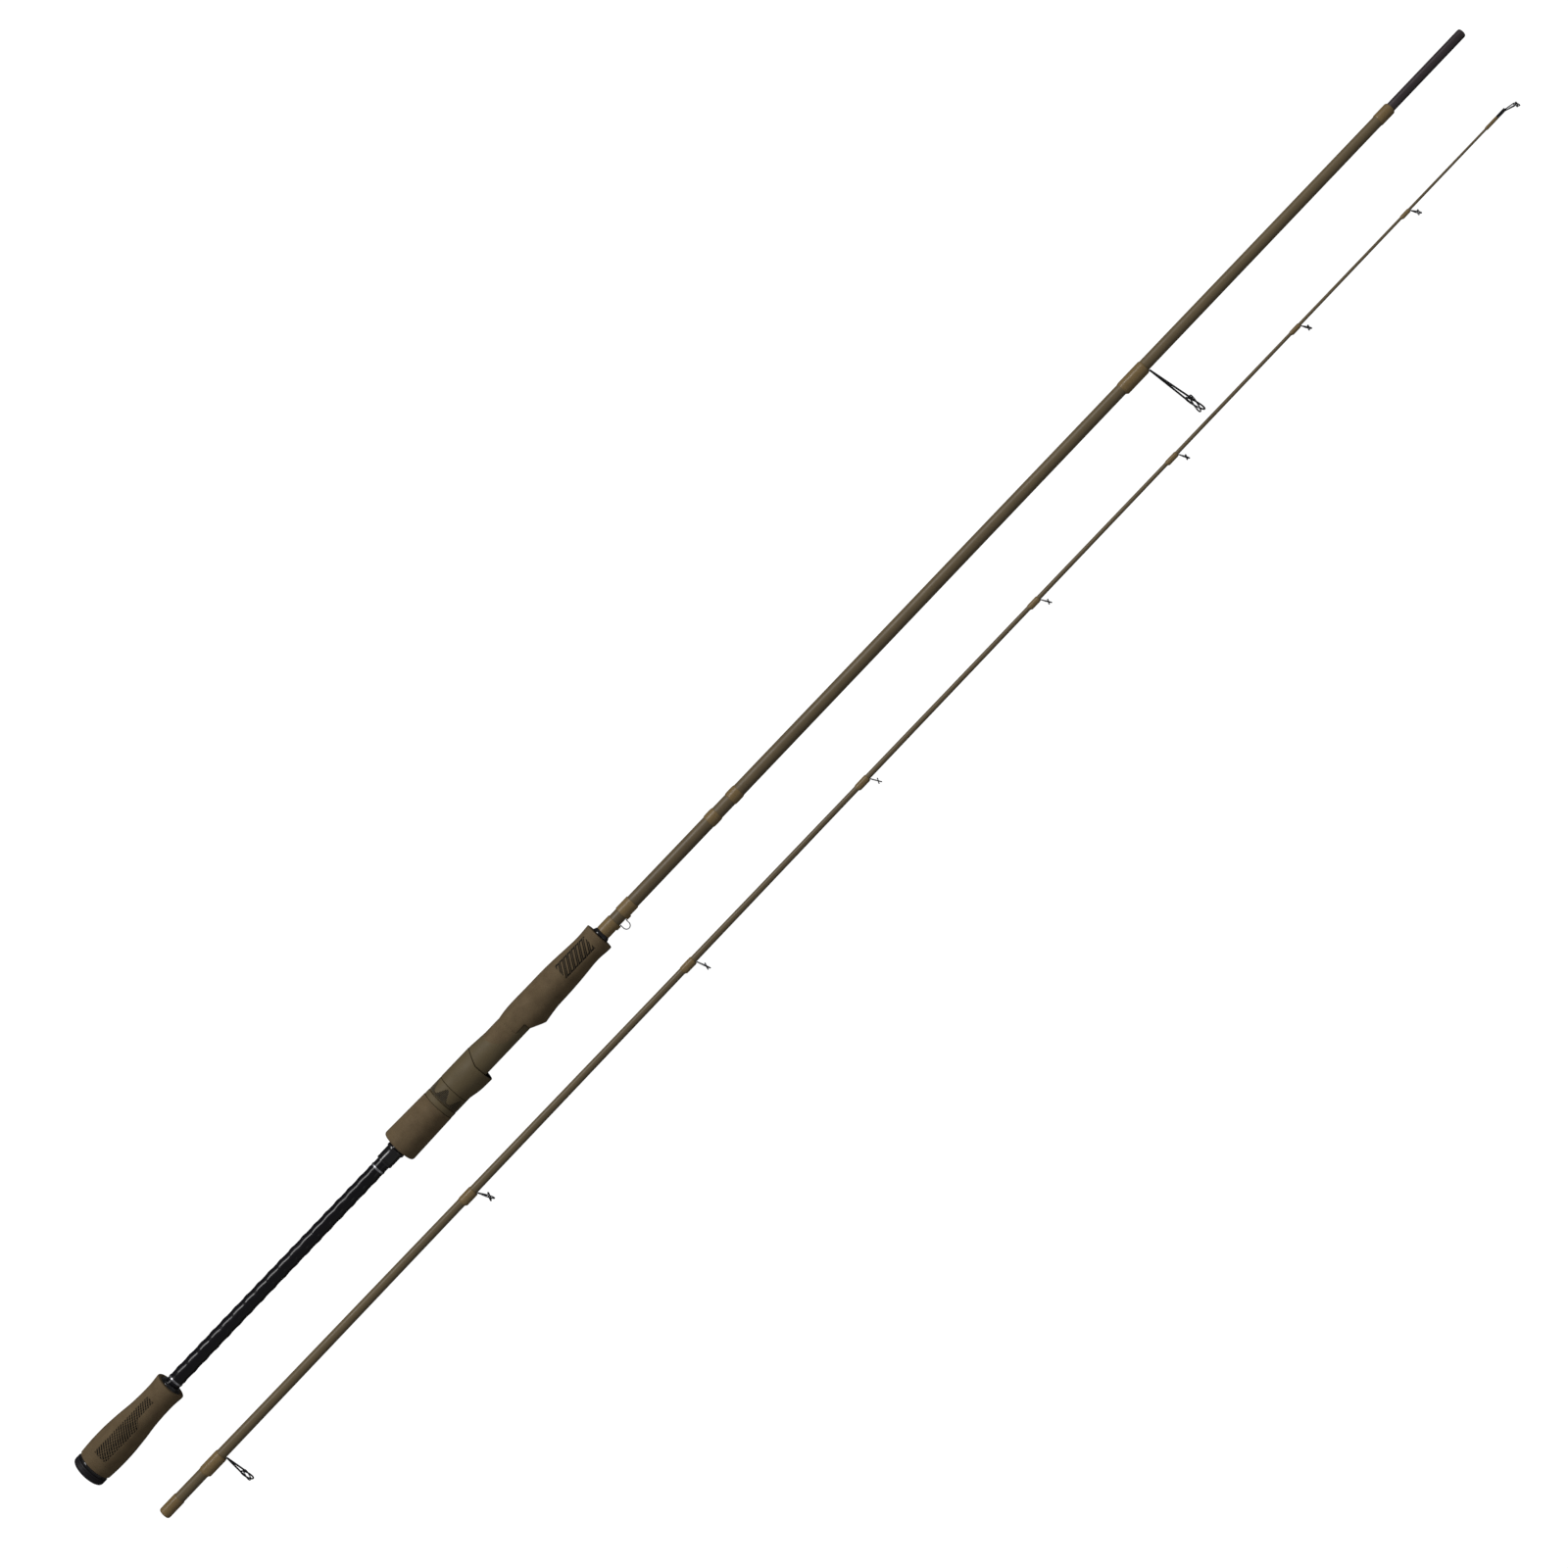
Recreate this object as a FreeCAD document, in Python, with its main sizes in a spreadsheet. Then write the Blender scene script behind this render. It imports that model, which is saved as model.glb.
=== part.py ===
import FreeCAD, Part
import math
import os
import re

import Sketcher

"""A two-piece spinning rod, taken apart, with its two sections lying side by side.

The rod's long axis is X, from the butt cap at x = 0 toward the tip. Its guides point to -Y, and Z is up.
The butt section lies on the X axis, and the tip section lies beside it, toward -Y.
Every size is a cell of the sheet called sizes. Lengths and radii are in millimetres, angles in degrees.
"""

Vector = FreeCAD.Vector
Rotation = FreeCAD.Rotation

SIZES = {
    # Rear grip and butt cap
    "cap_len": 5.5,
    "cap_radius": 12.6,
    "cap_round": 2.2,
    "cap_floor": 3.0,
    "trim_len": 2.1,
    "trim_radius": 12.1,
    "grip_len": 73.3,
    "grip_heel_radius": 13.5,
    "grip_waist_radius": 10.6,
    "grip_rim_radius": 11.4,
    "recess_radius": 8.2,
    "recess_depth": 3.0,
    "check_nose": 1.8,
    "check_nose_wall": 1.08,
    # Blanks
    "butt_blank_len": 1263.0,
    "butt_blank_radius": 5.35,
    "spigot_wall": 0.55,
    "blank_wall": 1.1,
    "tip_blank_len": 1307.6,
    "socket_wall": 0.62,
    "tip_mid_radius": 2.05,
    "tip_end_radius": 0.8,
    "tip_end_bore": 0.4,
    "spigot_radius": 3.4,
    "spigot_out": 70.0,
    "spigot_in": 60.0,
    "spigot_bore": 2.2,
    "spigot_step": 0.25,
    "ferrule_gap": 0.03,
    "glue_gap": 0.05,
    # Handle trim
    "ring_len": 1.6,
    "ring_height": 0.3,
    "ring_rear_at": 85.0,
    "ring_front_at": 281.6,
    "collar_len": 10.6,
    "collar_wall": 0.9,
    "flange_len": 1.8,
    "flange_wall": 1.7,
    "collar_at": 288.0,
    # Reel seat
    "seat_at": 306.0,
    "barrel_radius": 10.0,
    "shoulder_drop": 0.1,
    "shoulder_len": 14.0,
    "saddle_rise": 0.9,
    "core_drop": 0.3,
    "saddle_len": 38.0,
    "core_len": 26.0,
    "seat_bore": 7.0,
    "flat_depth": 1.0,
    "floor_depth": 2.0,
    "arbor_len": 22.0,
    # Locking nut and sliding hood
    "nut_clearance": 0.06,
    "nut_len": 38.5,
    "nut_core_wall": 1.14,
    "nut_lip_len": 2.4,
    "nut_lip_gap": 0.7,
    "sleeve_rear_wall": 1.9,
    "sleeve_front_wall": 1.1,
    "band_len": 4.4,
    "band_wall": 0.95,
    "seam": 0.25,
    "hood_ring_len": 10.6,
    "hood_side_wall": 2.04,
    "hood_len": 27.2,
    "hood_lip": 2.0,
    "hood_slant": 5.2,
    "pocket_depth": 9.4,
    "liner_wall": 0.6,
    "hood_wall": 1.0,
    # Foregrip
    "foregrip_lip_at": 9.5,
    "foregrip_lip": 1.8,
    "foregrip_lip_wall": 2.4,
    "foregrip_len": 76.0,
    "foregrip_swell_wall": 2.3,
    "foregrip_waist_radius": 10.3,
    "foregrip_rim_radius": 10.9,
    "overlay_edge": 4.6,
    "overlay_step": 0.1,
    "winding_check_len": 3.0,
    "winding_check_wall": 1.33,
    # Thread wraps and hook keeper
    "wrap_height": 0.45,
    "keeper_wrap_len": 11.2,
    "keeper_gap": 6.6,
    "keeper_wire": 0.35,
    "keeper_reach": 5.2,
    "keeper_pin": 2.2,
    "keeper_clearance": 0.06,
    "keeper_lug_wall": 0.3,
    "trim_wrap_at": 603.5,
    "trim_wrap_len": 8.6,
    "trim_wrap_gap": 12.4,
    "ferrule_wrap_len": 12.0,
    "ferrule_wrap_height": 0.35,
    "tip_ferrule_wrap_len": 14.8,
    # Guides
    "guide_seat": 0.25,
    # Tip top
    "tip_tube_len": 7.6,
    "tip_tube_wall": 0.35,
    "tip_insert_wall": 0.55,
    "tip_ring_height": 3.5,
    "tip_ring_ahead": 8.8,
    "tip_ring_lean": 24.0,
    "tip_wire": 0.4,
    "tip_wrap_len": 11.0,
    "tip_wrap_height": 0.36,
    "tip_insert_bore": 1.5,
    # Where the tip section lies
    "section_gap": 56.5,
    "tip_drop": 8.3,
    "tip_start": 12.9,
}

# Of each guide: where its foot ends along the rod, the height of its ring, the bore and the wall of the
# ring's insert, the lean of its legs and the further tilt of its ring toward the tip, the wire's radius,
# the foot's length, width and thickness, and the length and the height of its wrap.
GUIDE_FIELDS = ("at", "height", "bore", "wall", "lean", "tilt", "wire",
                "foot", "width", "thick", "wrap", "lap")
GUIDES = {
    1: (1027.4, 42.3, 6.4, 0.56, 7.4, 6.0, 0.62, 17.0, 2.6, 0.9, 21.7, 0.45),
    2: (69.2, 22.2, 3.85, 0.5, 3.6, 10.0, 0.55, 13.5, 2.4, 0.8, 17.0, 0.45),
    3: (315.2, 10.9, 2.95, 0.4, 26.0, 0.0, 0.45, 9.5, 2.0, 0.7, 11.6, 0.4),
    4: (529.8, 9.5, 2.4, 0.31, 19.0, 0.0, 0.42, 8.5, 1.8, 0.6, 10.7, 0.4),
    5: (699.8, 7.0, 1.95, 0.25, 29.0, 0.0, 0.4, 8.5, 1.6, 0.55, 10.7, 0.4),
    6: (866.4, 6.6, 1.85, 0.29, 29.0, 0.0, 0.38, 7.5, 1.5, 0.5, 9.2, 0.35),
    7: (1001.4, 6.6, 1.85, 0.29, 25.0, 0.0, 0.38, 7.8, 1.4, 0.5, 10.0, 0.35),
    8: (1121.1, 5.9, 1.8, 0.29, 30.0, 0.0, 0.38, 7.0, 1.3, 0.45, 8.6, 0.35),
    9: (1228.3, 5.7, 1.8, 0.29, 31.0, 0.0, 0.38, 6.8, 1.2, 0.45, 8.1, 0.35),
}

# Radii, and heights above the rod's axis, worked out from the sheet's cells
FERRULE_RADIUS = "(spigot_radius + glue_gap + spigot_wall)"
SPIGOT_SEAT = "(spigot_radius - spigot_step + glue_gap)"
SOCKET_RADIUS = "(spigot_radius + ferrule_gap)"
TIP_BASE_RADIUS = f"({SOCKET_RADIUS} + socket_wall)"
RUNNING_BORE = "(barrel_radius + nut_clearance)"
NUT_CORE_RADIUS = f"({RUNNING_BORE} + nut_core_wall)"
HOOD_RADIUS = f"({RUNNING_BORE} + hood_side_wall)"
SHOULDER_RADIUS = f"({HOOD_RADIUS} - shoulder_drop)"
SADDLE_RADIUS = "(barrel_radius + saddle_rise)"
CORE_RADIUS = "(barrel_radius - core_drop)"
FOOT_FLAT = "(barrel_radius - flat_depth)"
POCKET_FLOOR = "(barrel_radius - floor_depth)"
LIP_RADIUS = f"({CORE_RADIUS} + foregrip_lip_wall)"
SWELL_RADIUS = f"({CORE_RADIUS} + foregrip_swell_wall)"
WELL_BELOW = f"(-2 * {HOOD_RADIUS})"

# Places along the rod, worked out from the sheet's cells
GRIP_REAR = "(cap_len + trim_len)"
GRIP_FRONT = f"({GRIP_REAR} + grip_len)"
BUTT_BLANK_FRONT = "(cap_floor + butt_blank_len)"
NUT_AT = "(seat_at - nut_lip_len - 1.2)"
BAND_AT = f"({NUT_AT} + nut_len)"
HOOD_RING_AT = f"({BAND_AT} + band_len + seam)"
HOOD_AT = f"({HOOD_RING_AT} + hood_ring_len + seam)"
SADDLE_AT = f"({HOOD_AT} + hood_len + seam)"
LIP_REAR = f"({SADDLE_AT} + saddle_len)"
LIP_POINT = ("foregrip_lip_at", f"-({LIP_RADIUS} + foregrip_lip)")
SEAT_FRONT = f"({LIP_REAR} + core_len)"
FOREGRIP_FRONT = f"({LIP_REAR} + foregrip_len)"
KEEPER_REAR = f"({FOREGRIP_FRONT} + winding_check_len)"
KEEPER_MID = f"({KEEPER_REAR} + keeper_wrap_len)"
KEEPER_FRONT = f"({KEEPER_MID} + keeper_gap)"
TIP_MID = "(tip_blank_len / 2)"
TIP_FRONT = "(tip_start + tip_blank_len)"
TIP_Y = "(-section_gap)"
TIP_Z = "(-tip_drop)"

doc = FreeCAD.newDocument("spinning_rod")
sheet = doc.addObject("Spreadsheet::Sheet", "sizes")
nodes = []


def fill_sheet():
    """One row to a size, with its name in column A and its value, under that alias, in column B."""
    rows = dict(SIZES)
    for number, row in GUIDES.items():
        for field, value in zip(GUIDE_FIELDS, row):
            rows[f"guide_{number}_{field}"] = value
    for row, (alias, value) in enumerate(rows.items(), start=1):
        sheet.set(f"A{row}", alias)
        sheet.set(f"B{row}", str(value))
        sheet.setAlias(f"B{row}", alias)
    doc.recompute()
    return frozenset(rows)


ALIASES = fill_sheet()


def bound(text):
    """The expression with each of its words that is a cell's alias written as that cell."""
    swap = lambda found: f"sizes.{found.group()}" if found.group() in ALIASES else found.group()
    return re.sub(r"[a-z][a-z_0-9]*", swap, str(text))


def value_of(text):
    """What an expression comes to now, as a plain number."""
    found = sheet.evalExpression(bound(text))
    return float(getattr(found, "Value", found))


def butt_radius_at(x):
    """The butt blank's outer radius at a place along the rod."""
    taper = f"(butt_blank_radius - {FERRULE_RADIUS})"
    return f"(butt_blank_radius - {taper} * ({x} - cap_floor) / butt_blank_len)"


def tip_radius_at(x):
    """The tip blank's outer radius at a place along the rod: two straight tapers that meet midway."""
    along = f"({x} - tip_start)"
    rear = f"({TIP_BASE_RADIUS} - ({TIP_BASE_RADIUS} - tip_mid_radius) * {along} / {TIP_MID})"
    front = f"(tip_mid_radius - (tip_mid_radius - tip_end_radius) * ({along} - {TIP_MID}) / {TIP_MID})"
    return rear if value_of(f"{along} - {TIP_MID}") < 0 else front


def blank_bore(radius_at, x):
    """The bore of a piece that slides on from the thin end: the radius at its rear, and the glue."""
    return f"({radius_at(x)} + glue_gap)"


FLANGE_RADIUS = f"({blank_bore(butt_radius_at, 'collar_at')} + flange_wall)"


def place(thing, x, y="0", z="0"):
    for axis, text in zip("xyz", (x, y, z)):
        thing.setExpression(f"Placement.Base.{axis}", bound(text))
    return thing


def node(thing, label):
    """Marks a finished sub-part, whose label names its file."""
    thing.Label = label
    nodes.append(thing)
    return thing


def plane_of(body, role):
    return next(part for part in body.Origin.OriginFeatures if part.Role == role)


def outline_sketch(body, name, outline, role="XY_Plane"):
    """A closed outline of straight sides, with both places of every corner bound to the sheet."""
    sketch = body.newObject("Sketcher::SketchObject", name)
    sketch.AttachmentSupport = [(plane_of(body, role), "")]
    sketch.MapMode = "FlatFace"
    corners = [Vector(value_of(x), value_of(y), 0) for x, y in outline]
    count = len(corners)
    for index, corner in enumerate(corners):
        sketch.addGeometry(Part.LineSegment(corner, corners[(index + 1) % count]), False)
    for index, (x, y) in enumerate(outline):
        sketch.addConstraint(Sketcher.Constraint("Coincident", index, 1, (index - 1) % count, 2))
        for way, text in (("DistanceX", x), ("DistanceY", y)):
            made = sketch.addConstraint(Sketcher.Constraint(way, -1, 1, index, 1, value_of(text)))
            sketch.setExpression(f"Constraints[{made}]", bound(text))
    return sketch


def turn(body, feature, outline):
    """Turns an outline about the rod's axis: a Revolution adds it and a Groove takes it away."""
    sketch = outline_sketch(body, f"{feature}Outline", outline)
    turned = body.newObject(f"PartDesign::{feature}", f"Turned{feature}")
    turned.Profile = sketch
    turned.ReferenceAxis = (sketch, ["H_Axis"])
    turned.Angle = 360
    sketch.Visibility = False
    return turned


def turned_body(name, outline, x, y="0", z="0"):
    """A body turned about the rod's axis from corners given as (place along it, radius)."""
    body = doc.addObject("PartDesign::Body", name)
    turn(body, "Revolution", outline)
    return place(body, x, y, z)


def sleeve_outline(length, inner, outer):
    return [("0", inner), ("0", outer), (length, outer), (length, inner)]


def round_rim(body, x, radius, by):
    """Rounds the circular edge that has this place and radius."""
    doc.recompute()
    far, wide = value_of(x), value_of(radius)
    tip = body.Tip
    for index, edge in enumerate(tip.Shape.Edges, start=1):
        curve = edge.Curve
        if not isinstance(curve, Part.Circle):
            continue
        if abs(curve.Center.x - far) < 1e-4 and abs(curve.Radius - wide) < 1e-4:
            fillet = body.newObject("PartDesign::Fillet", "Rim")
            fillet.Base = (tip, [f"Edge{index}"])
            fillet.setExpression("Radius", bound(by))
            return fillet
    raise RuntimeError(f"{body.Name} has no rim at {far}, radius {wide}")


def loft(body, sections):
    """A smooth skin through circles, each given as (place along the rod, its centre's y, radius)."""
    circles = []
    for index, (x, y, radius) in enumerate(sections):
        sketch = body.newObject("Sketcher::SketchObject", f"Section{index}")
        sketch.AttachmentSupport = [(plane_of(body, "YZ_Plane"), "")]
        sketch.MapMode = "FlatFace"
        sketch.setExpression("AttachmentOffset.Base.z", bound(x))
        centre = Vector(value_of(y), 0, 0)
        sketch.addGeometry(Part.Circle(centre, Vector(0, 0, 1), value_of(radius)), False)
        for way, text in (("DistanceX", y), ("DistanceY", "0")):
            made = sketch.addConstraint(Sketcher.Constraint(way, -1, 1, 0, 3, value_of(text)))
            sketch.setExpression(f"Constraints[{made}]", bound(text))
        made = sketch.addConstraint(Sketcher.Constraint("Radius", 0, value_of(radius)))
        sketch.setExpression(f"Constraints[{made}]", bound(radius))
        sketch.Visibility = False
        circles.append(sketch)
    skin = body.newObject("PartDesign::AdditiveLoft", "Skin")
    skin.Profile = circles[0]
    skin.Sections = circles[1:]
    return skin


def slice_off(body, outline):
    """Cuts an outline of the XY plane right through a body, above and below."""
    before = body.Tip
    sketch = outline_sketch(body, "SliceOutline", outline)
    pocket = body.newObject("PartDesign::Pocket", "Slice")
    pocket.Profile = sketch
    pocket.Midplane = True
    pocket.Type = 1
    sketch.Visibility = False
    doc.recompute()
    if not pocket.Shape.Volume < before.Shape.Volume - 1e-6:
        raise RuntimeError(f"{body.Name}: the slice cut nothing")
    return pocket


def bar(name, radius, length, x, y="0", z="0"):
    """A solid cylinder along X."""
    made = doc.addObject("Part::Cylinder", name)
    made.setExpression("Radius", bound(radius))
    made.setExpression("Height", bound(length))
    made.Placement.Rotation = Rotation(Vector(0, 1, 0), 90)
    return place(made, x, y, z)


def block(name, size, x, y, z):
    made = doc.addObject("Part::Box", name)
    for side, text in zip(("Length", "Width", "Height"), size):
        made.setExpression(side, bound(text))
    return place(made, x, y, z)


def cut(name, base, tool):
    made = doc.addObject("Part::Cut", name)
    made.Base, made.Tool = base, tool
    return made


def common(name, base, tool):
    made = doc.addObject("Part::Common", name)
    made.Base, made.Tool = base, tool
    return made


def fuse(name, shapes):
    made = doc.addObject("Part::MultiFuse", name)
    made.Shapes = shapes
    return made


def wrap_on(label, radius_at, x, length, height, y="0", z="0"):
    """Thread wound on a blank under resin, with both its ends tapered down to the blank."""
    inner = blank_bore(radius_at, x)
    edge, top = f"{inner} + {height} / 3", f"{inner} + {height}"
    slope = f"2 * ({height})"
    outline = [("0", inner), ("0", edge), (slope, top), (f"{length} - {slope}", top), (length, edge),
               (length, inner)]
    return node(turned_body(label, outline, x, y, z), label)


def make_rear_grip():
    bore = blank_bore(butt_radius_at, "cap_floor")
    floor = "cap_floor - glue_gap"
    cap = turned_body("butt_cap", [("0", "0"), ("0", "cap_radius"), ("cap_len", "cap_radius"),
                                   ("cap_len", bore), (floor, bore), (floor, "0")], "0")
    round_rim(cap, "0", "cap_radius", "cap_round")
    node(cap, "butt_cap")

    ring = turned_body("butt_trim_ring", sleeve_outline("trim_len", bore, "trim_radius"), "cap_len")
    node(ring, "butt_trim_ring")

    grip = doc.addObject("PartDesign::Body", "rear_grip")
    heel, waist = "grip_heel_radius", "grip_waist_radius"
    loft(grip, [("0", "0", f"{heel} - 0.6"), ("grip_len * 0.14", "0", heel),
                ("grip_len * 0.3", "0", f"{heel} - 0.05"),
                ("grip_len * 0.47", "0", f"({heel} * 2 + {waist}) / 3"),
                ("grip_len * 0.65", "0", f"{waist} + 0.45"),
                ("grip_len * 0.86", "0", waist), ("grip_len", "0", "grip_rim_radius")])
    recess = "grip_len - recess_depth"
    turn(grip, "Groove", [("-1", "0"), ("-1", bore), (recess, bore), (recess, "recess_radius"),
                          ("grip_len + 1", "recess_radius"), ("grip_len + 1", "0")])
    node(place(grip, GRIP_REAR), "rear_grip")

    at = f"{GRIP_FRONT} - recess_depth"
    inner = blank_bore(butt_radius_at, at)
    skirt = "recess_radius - glue_gap"
    check = [("0", inner), ("0", skirt), ("recess_depth - 0.5", skirt),
             ("recess_depth + check_nose", f"{inner} + check_nose_wall"),
             ("recess_depth + check_nose", inner)]
    node(turned_body("rear_grip_check", check, at), "rear_grip_check")


def make_butt_blank():
    """A tapered tube, with a straight bore at its thin end for the spigot glued into it."""
    length = "butt_blank_len"
    seat = f"{length} - spigot_in"
    bore = SPIGOT_SEAT
    outline = [("0", "butt_blank_radius - blank_wall"), ("0", "butt_blank_radius"),
               (length, FERRULE_RADIUS),
               (length, bore), (seat, bore), (seat, f"{bore} - 0.3")]
    node(turned_body("butt_blank", outline, "cap_floor"), "butt_blank")

    glued, low = "spigot_in - 1 + glue_gap", "spigot_radius - spigot_step"
    end = "spigot_in - 1 + spigot_out"
    plug = turned_body("spigot", [("0", "spigot_bore"), ("0", low), (glued, low), (glued, "spigot_radius"),
                                  (end, "spigot_radius"), (end, "spigot_bore")],
                       f"{BUTT_BLANK_FRONT} - spigot_in + 1")
    round_rim(plug, end, "spigot_radius", "(spigot_radius - spigot_bore) * 0.6")
    node(plug, "spigot")


def make_handle_trim():
    for label, at in (("handle_ring_rear", "ring_rear_at"), ("handle_ring_front", "ring_front_at")):
        wrap_on(label, butt_radius_at, at, "ring_len", "ring_height")
    inner = blank_bore(butt_radius_at, "collar_at")
    end = "collar_len + flange_len"
    low, high = f"{inner} + collar_wall", FLANGE_RADIUS
    collar = [("0", inner), ("0", low), ("collar_len", low), ("collar_len", high), (end, high),
              (end, inner)]
    node(turned_body("seat_rear_collar", collar, "collar_at"), "seat_rear_collar")


def foot_pocket(name, x, length, centre, radius, floor):
    """The room under a hood for a reel's foot: a round vault below the floor that the foot lies on."""
    vault = bar(f"{name}_vault", radius, length, x, centre)
    lower = block(f"{name}_side", (length, HOOD_RADIUS, f"3 * {HOOD_RADIUS}"), x,
                  f"-({floor}) - {HOOD_RADIUS}", f"-1.5 * {HOOD_RADIUS}")
    return common(name, vault, lower)


def pocket_liner(label, blind, mouth, centre, radius, floor):
    """A thin vaulted shell that lines a pocket from its blind end to its mouth, and the solid it fills."""
    depth = f"{mouth} - {blind}"
    filled = foot_pocket(f"{label}_filled", blind, depth, centre, f"{radius} + liner_wall", floor)
    inner = foot_pocket(f"{label}_room", f"{blind} + liner_wall", depth, centre, radius, floor)
    return cut(f"{label}_shell", filled, inner), filled


def slab(name, outline, x):
    """An outline of the XY plane made thick enough to cut right through the handle."""
    body = doc.addObject("PartDesign::Body", name)
    sketch = outline_sketch(body, f"{name}_outline", outline)
    pad = body.newObject("PartDesign::Pad", "Pad")
    pad.Profile = sketch
    pad.Midplane = True
    pad.setExpression("Length", bound(f"4 * {HOOD_RADIUS}"))
    return place(body, x)


def make_seat_moulding():
    """The seat's moulding: a threaded barrel, a shoulder, and a saddle whose flat carries the foot."""
    seat = doc.addObject("PartDesign::Body", "seat_moulding")
    saddle = f"({SADDLE_AT} - seat_at)"
    rear, lip = f"{saddle} - hood_slant", f"{saddle} + saddle_len"
    front = f"{lip} + core_len"
    turn(seat, "Revolution", [
        (rear, "seat_bore"), (rear, SHOULDER_RADIUS), (saddle, SHOULDER_RADIUS),
        (f"{saddle} + shoulder_len", SADDLE_RADIUS), (lip, SADDLE_RADIUS), (lip, CORE_RADIUS),
        (front, CORE_RADIUS), (front, "seat_bore")])
    above = f"{HOOD_RADIUS} + 1"
    slice_off(seat, [(saddle, above), (rear, "0"), (rear, WELL_BELOW), (f"{rear} - 9", WELL_BELOW),
                     (f"{rear} - 9", above)])
    turn(seat, "Revolution", sleeve_outline(f"{saddle} + 2", "seat_bore", "barrel_radius"))
    flat = f"{rear} - pocket_depth - 2"
    low, high = f"-{POCKET_FLOOR}", f"-{FOOT_FLAT}"
    slice_off(seat, [(flat, WELL_BELOW), (flat, low), (rear, low), (rear, high), (lip, high), (lip, low),
                     (f"{front} + 1", low), (f"{front} + 1", WELL_BELOW)])
    return place(seat, "seat_at")


def make_foregrip_foam():
    """The foregrip's foam runs back over the saddle's upper side, and its lip hides the fixed hood."""
    rear, lip = "(shoulder_len - saddle_len)", "foregrip_lip_at"
    grip = doc.addObject("PartDesign::Body", "foregrip_foam")
    loft(grip, [(rear, "0", f"{SADDLE_RADIUS} + overlay_step"),
                (f"{rear} / 3", "0", f"{SADDLE_RADIUS} + 0.4"),
                (lip, "-foregrip_lip / 2", f"{LIP_RADIUS} + foregrip_lip / 2"),
                (f"{lip} + 11", "-0.2", f"{SWELL_RADIUS} + 0.2"),
                ("foregrip_len * 0.42", "0", SWELL_RADIUS),
                ("foregrip_len * 0.72", "0", "foregrip_waist_radius + 0.45"),
                ("foregrip_len * 0.87", "0", "foregrip_waist_radius"),
                ("foregrip_len", "0", "foregrip_rim_radius")])
    inner = blank_bore(butt_radius_at, SEAT_FRONT)
    step = "core_len + glue_gap"
    behind = f"{rear} - 1"
    turn(grip, "Groove", [(behind, "0"), (behind, CORE_RADIUS), (step, CORE_RADIUS), (step, inner),
                          ("foregrip_len + 1", inner), ("foregrip_len + 1", "0")])
    slice_off(grip, [(behind, "-overlay_edge"), ("0", "-overlay_edge"), ("0", f"-{FOOT_FLAT}"),
                     LIP_POINT, (lip, WELL_BELOW), (behind, WELL_BELOW)])
    return place(grip, LIP_REAR)


def make_reel_seat():
    moulding, foam = make_seat_moulding(), make_foregrip_foam()
    centre = "-foregrip_lip / 2"
    radius = f"({LIP_RADIUS} + foregrip_lip / 2 - hood_wall - liner_wall)"
    room = foot_pocket("fixed_room", LIP_REAR, "pocket_depth", centre, radius, POCKET_FLOOR)
    filled = foot_pocket("fixed_filled", LIP_REAR, "pocket_depth + liner_wall", centre,
                         f"{radius} + liner_wall", POCKET_FLOOR)
    mouth = slab("fixed_mouth", [("-1", "-1"), ("0", f"-{FOOT_FLAT}"), LIP_POINT,
                                 ("foregrip_lip_at", WELL_BELOW), ("-1", WELL_BELOW)], LIP_REAR)
    shell = cut("fixed_shell", filled, room)
    node(cut("fixed_hood_cut", shell, mouth), "fixed_hood_liner")
    node(cut("foregrip_cut", foam, filled), "foregrip")
    node(cut("seat_cut", moulding, foam), "reel_seat_body")

    rear, front = "seat_at + 1", f"{SEAT_FRONT} - arbor_len - 1"
    for label, at in (("seat_arbor_rear", rear), ("seat_arbor_front", front)):
        inner = blank_bore(butt_radius_at, at)
        node(turned_body(label, sleeve_outline("arbor_len", inner, "seat_bore - glue_gap"), at), label)
    inner = blank_bore(butt_radius_at, FOREGRIP_FRONT)
    check = sleeve_outline("winding_check_len - glue_gap", inner, f"{inner} + winding_check_wall")
    node(turned_body("foregrip_check", check, FOREGRIP_FRONT), "foregrip_check")


def make_locking_nut():
    """The nut's core runs on the barrel's thread. Its foam sleeve and its trim band are fixed round it."""
    core_len, lip_bore = "(nut_len + band_len)", f"{FLANGE_RADIUS} + nut_lip_gap"
    core = [("0", lip_bore), ("0", NUT_CORE_RADIUS), (core_len, NUT_CORE_RADIUS),
            (core_len, RUNNING_BORE), ("nut_lip_len", RUNNING_BORE), ("nut_lip_len", lip_bore)]
    node(turned_body("locking_nut", core, NUT_AT), "locking_nut")

    rear = f"{NUT_CORE_RADIUS} + sleeve_rear_wall"
    foam = [("0", NUT_CORE_RADIUS), ("0", rear), ("nut_len", f"{NUT_CORE_RADIUS} + sleeve_front_wall"),
            ("nut_len", NUT_CORE_RADIUS)]
    sleeve = turned_body("nut_sleeve", foam, NUT_AT)
    round_rim(sleeve, "0", rear, "sleeve_rear_wall * 0.9")
    node(sleeve, "nut_sleeve")
    ring = sleeve_outline("band_len", NUT_CORE_RADIUS, f"{NUT_CORE_RADIUS} + band_wall")
    band = turned_body("nut_trim_band", ring, BAND_AT)
    node(band, "nut_trim_band")


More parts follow.
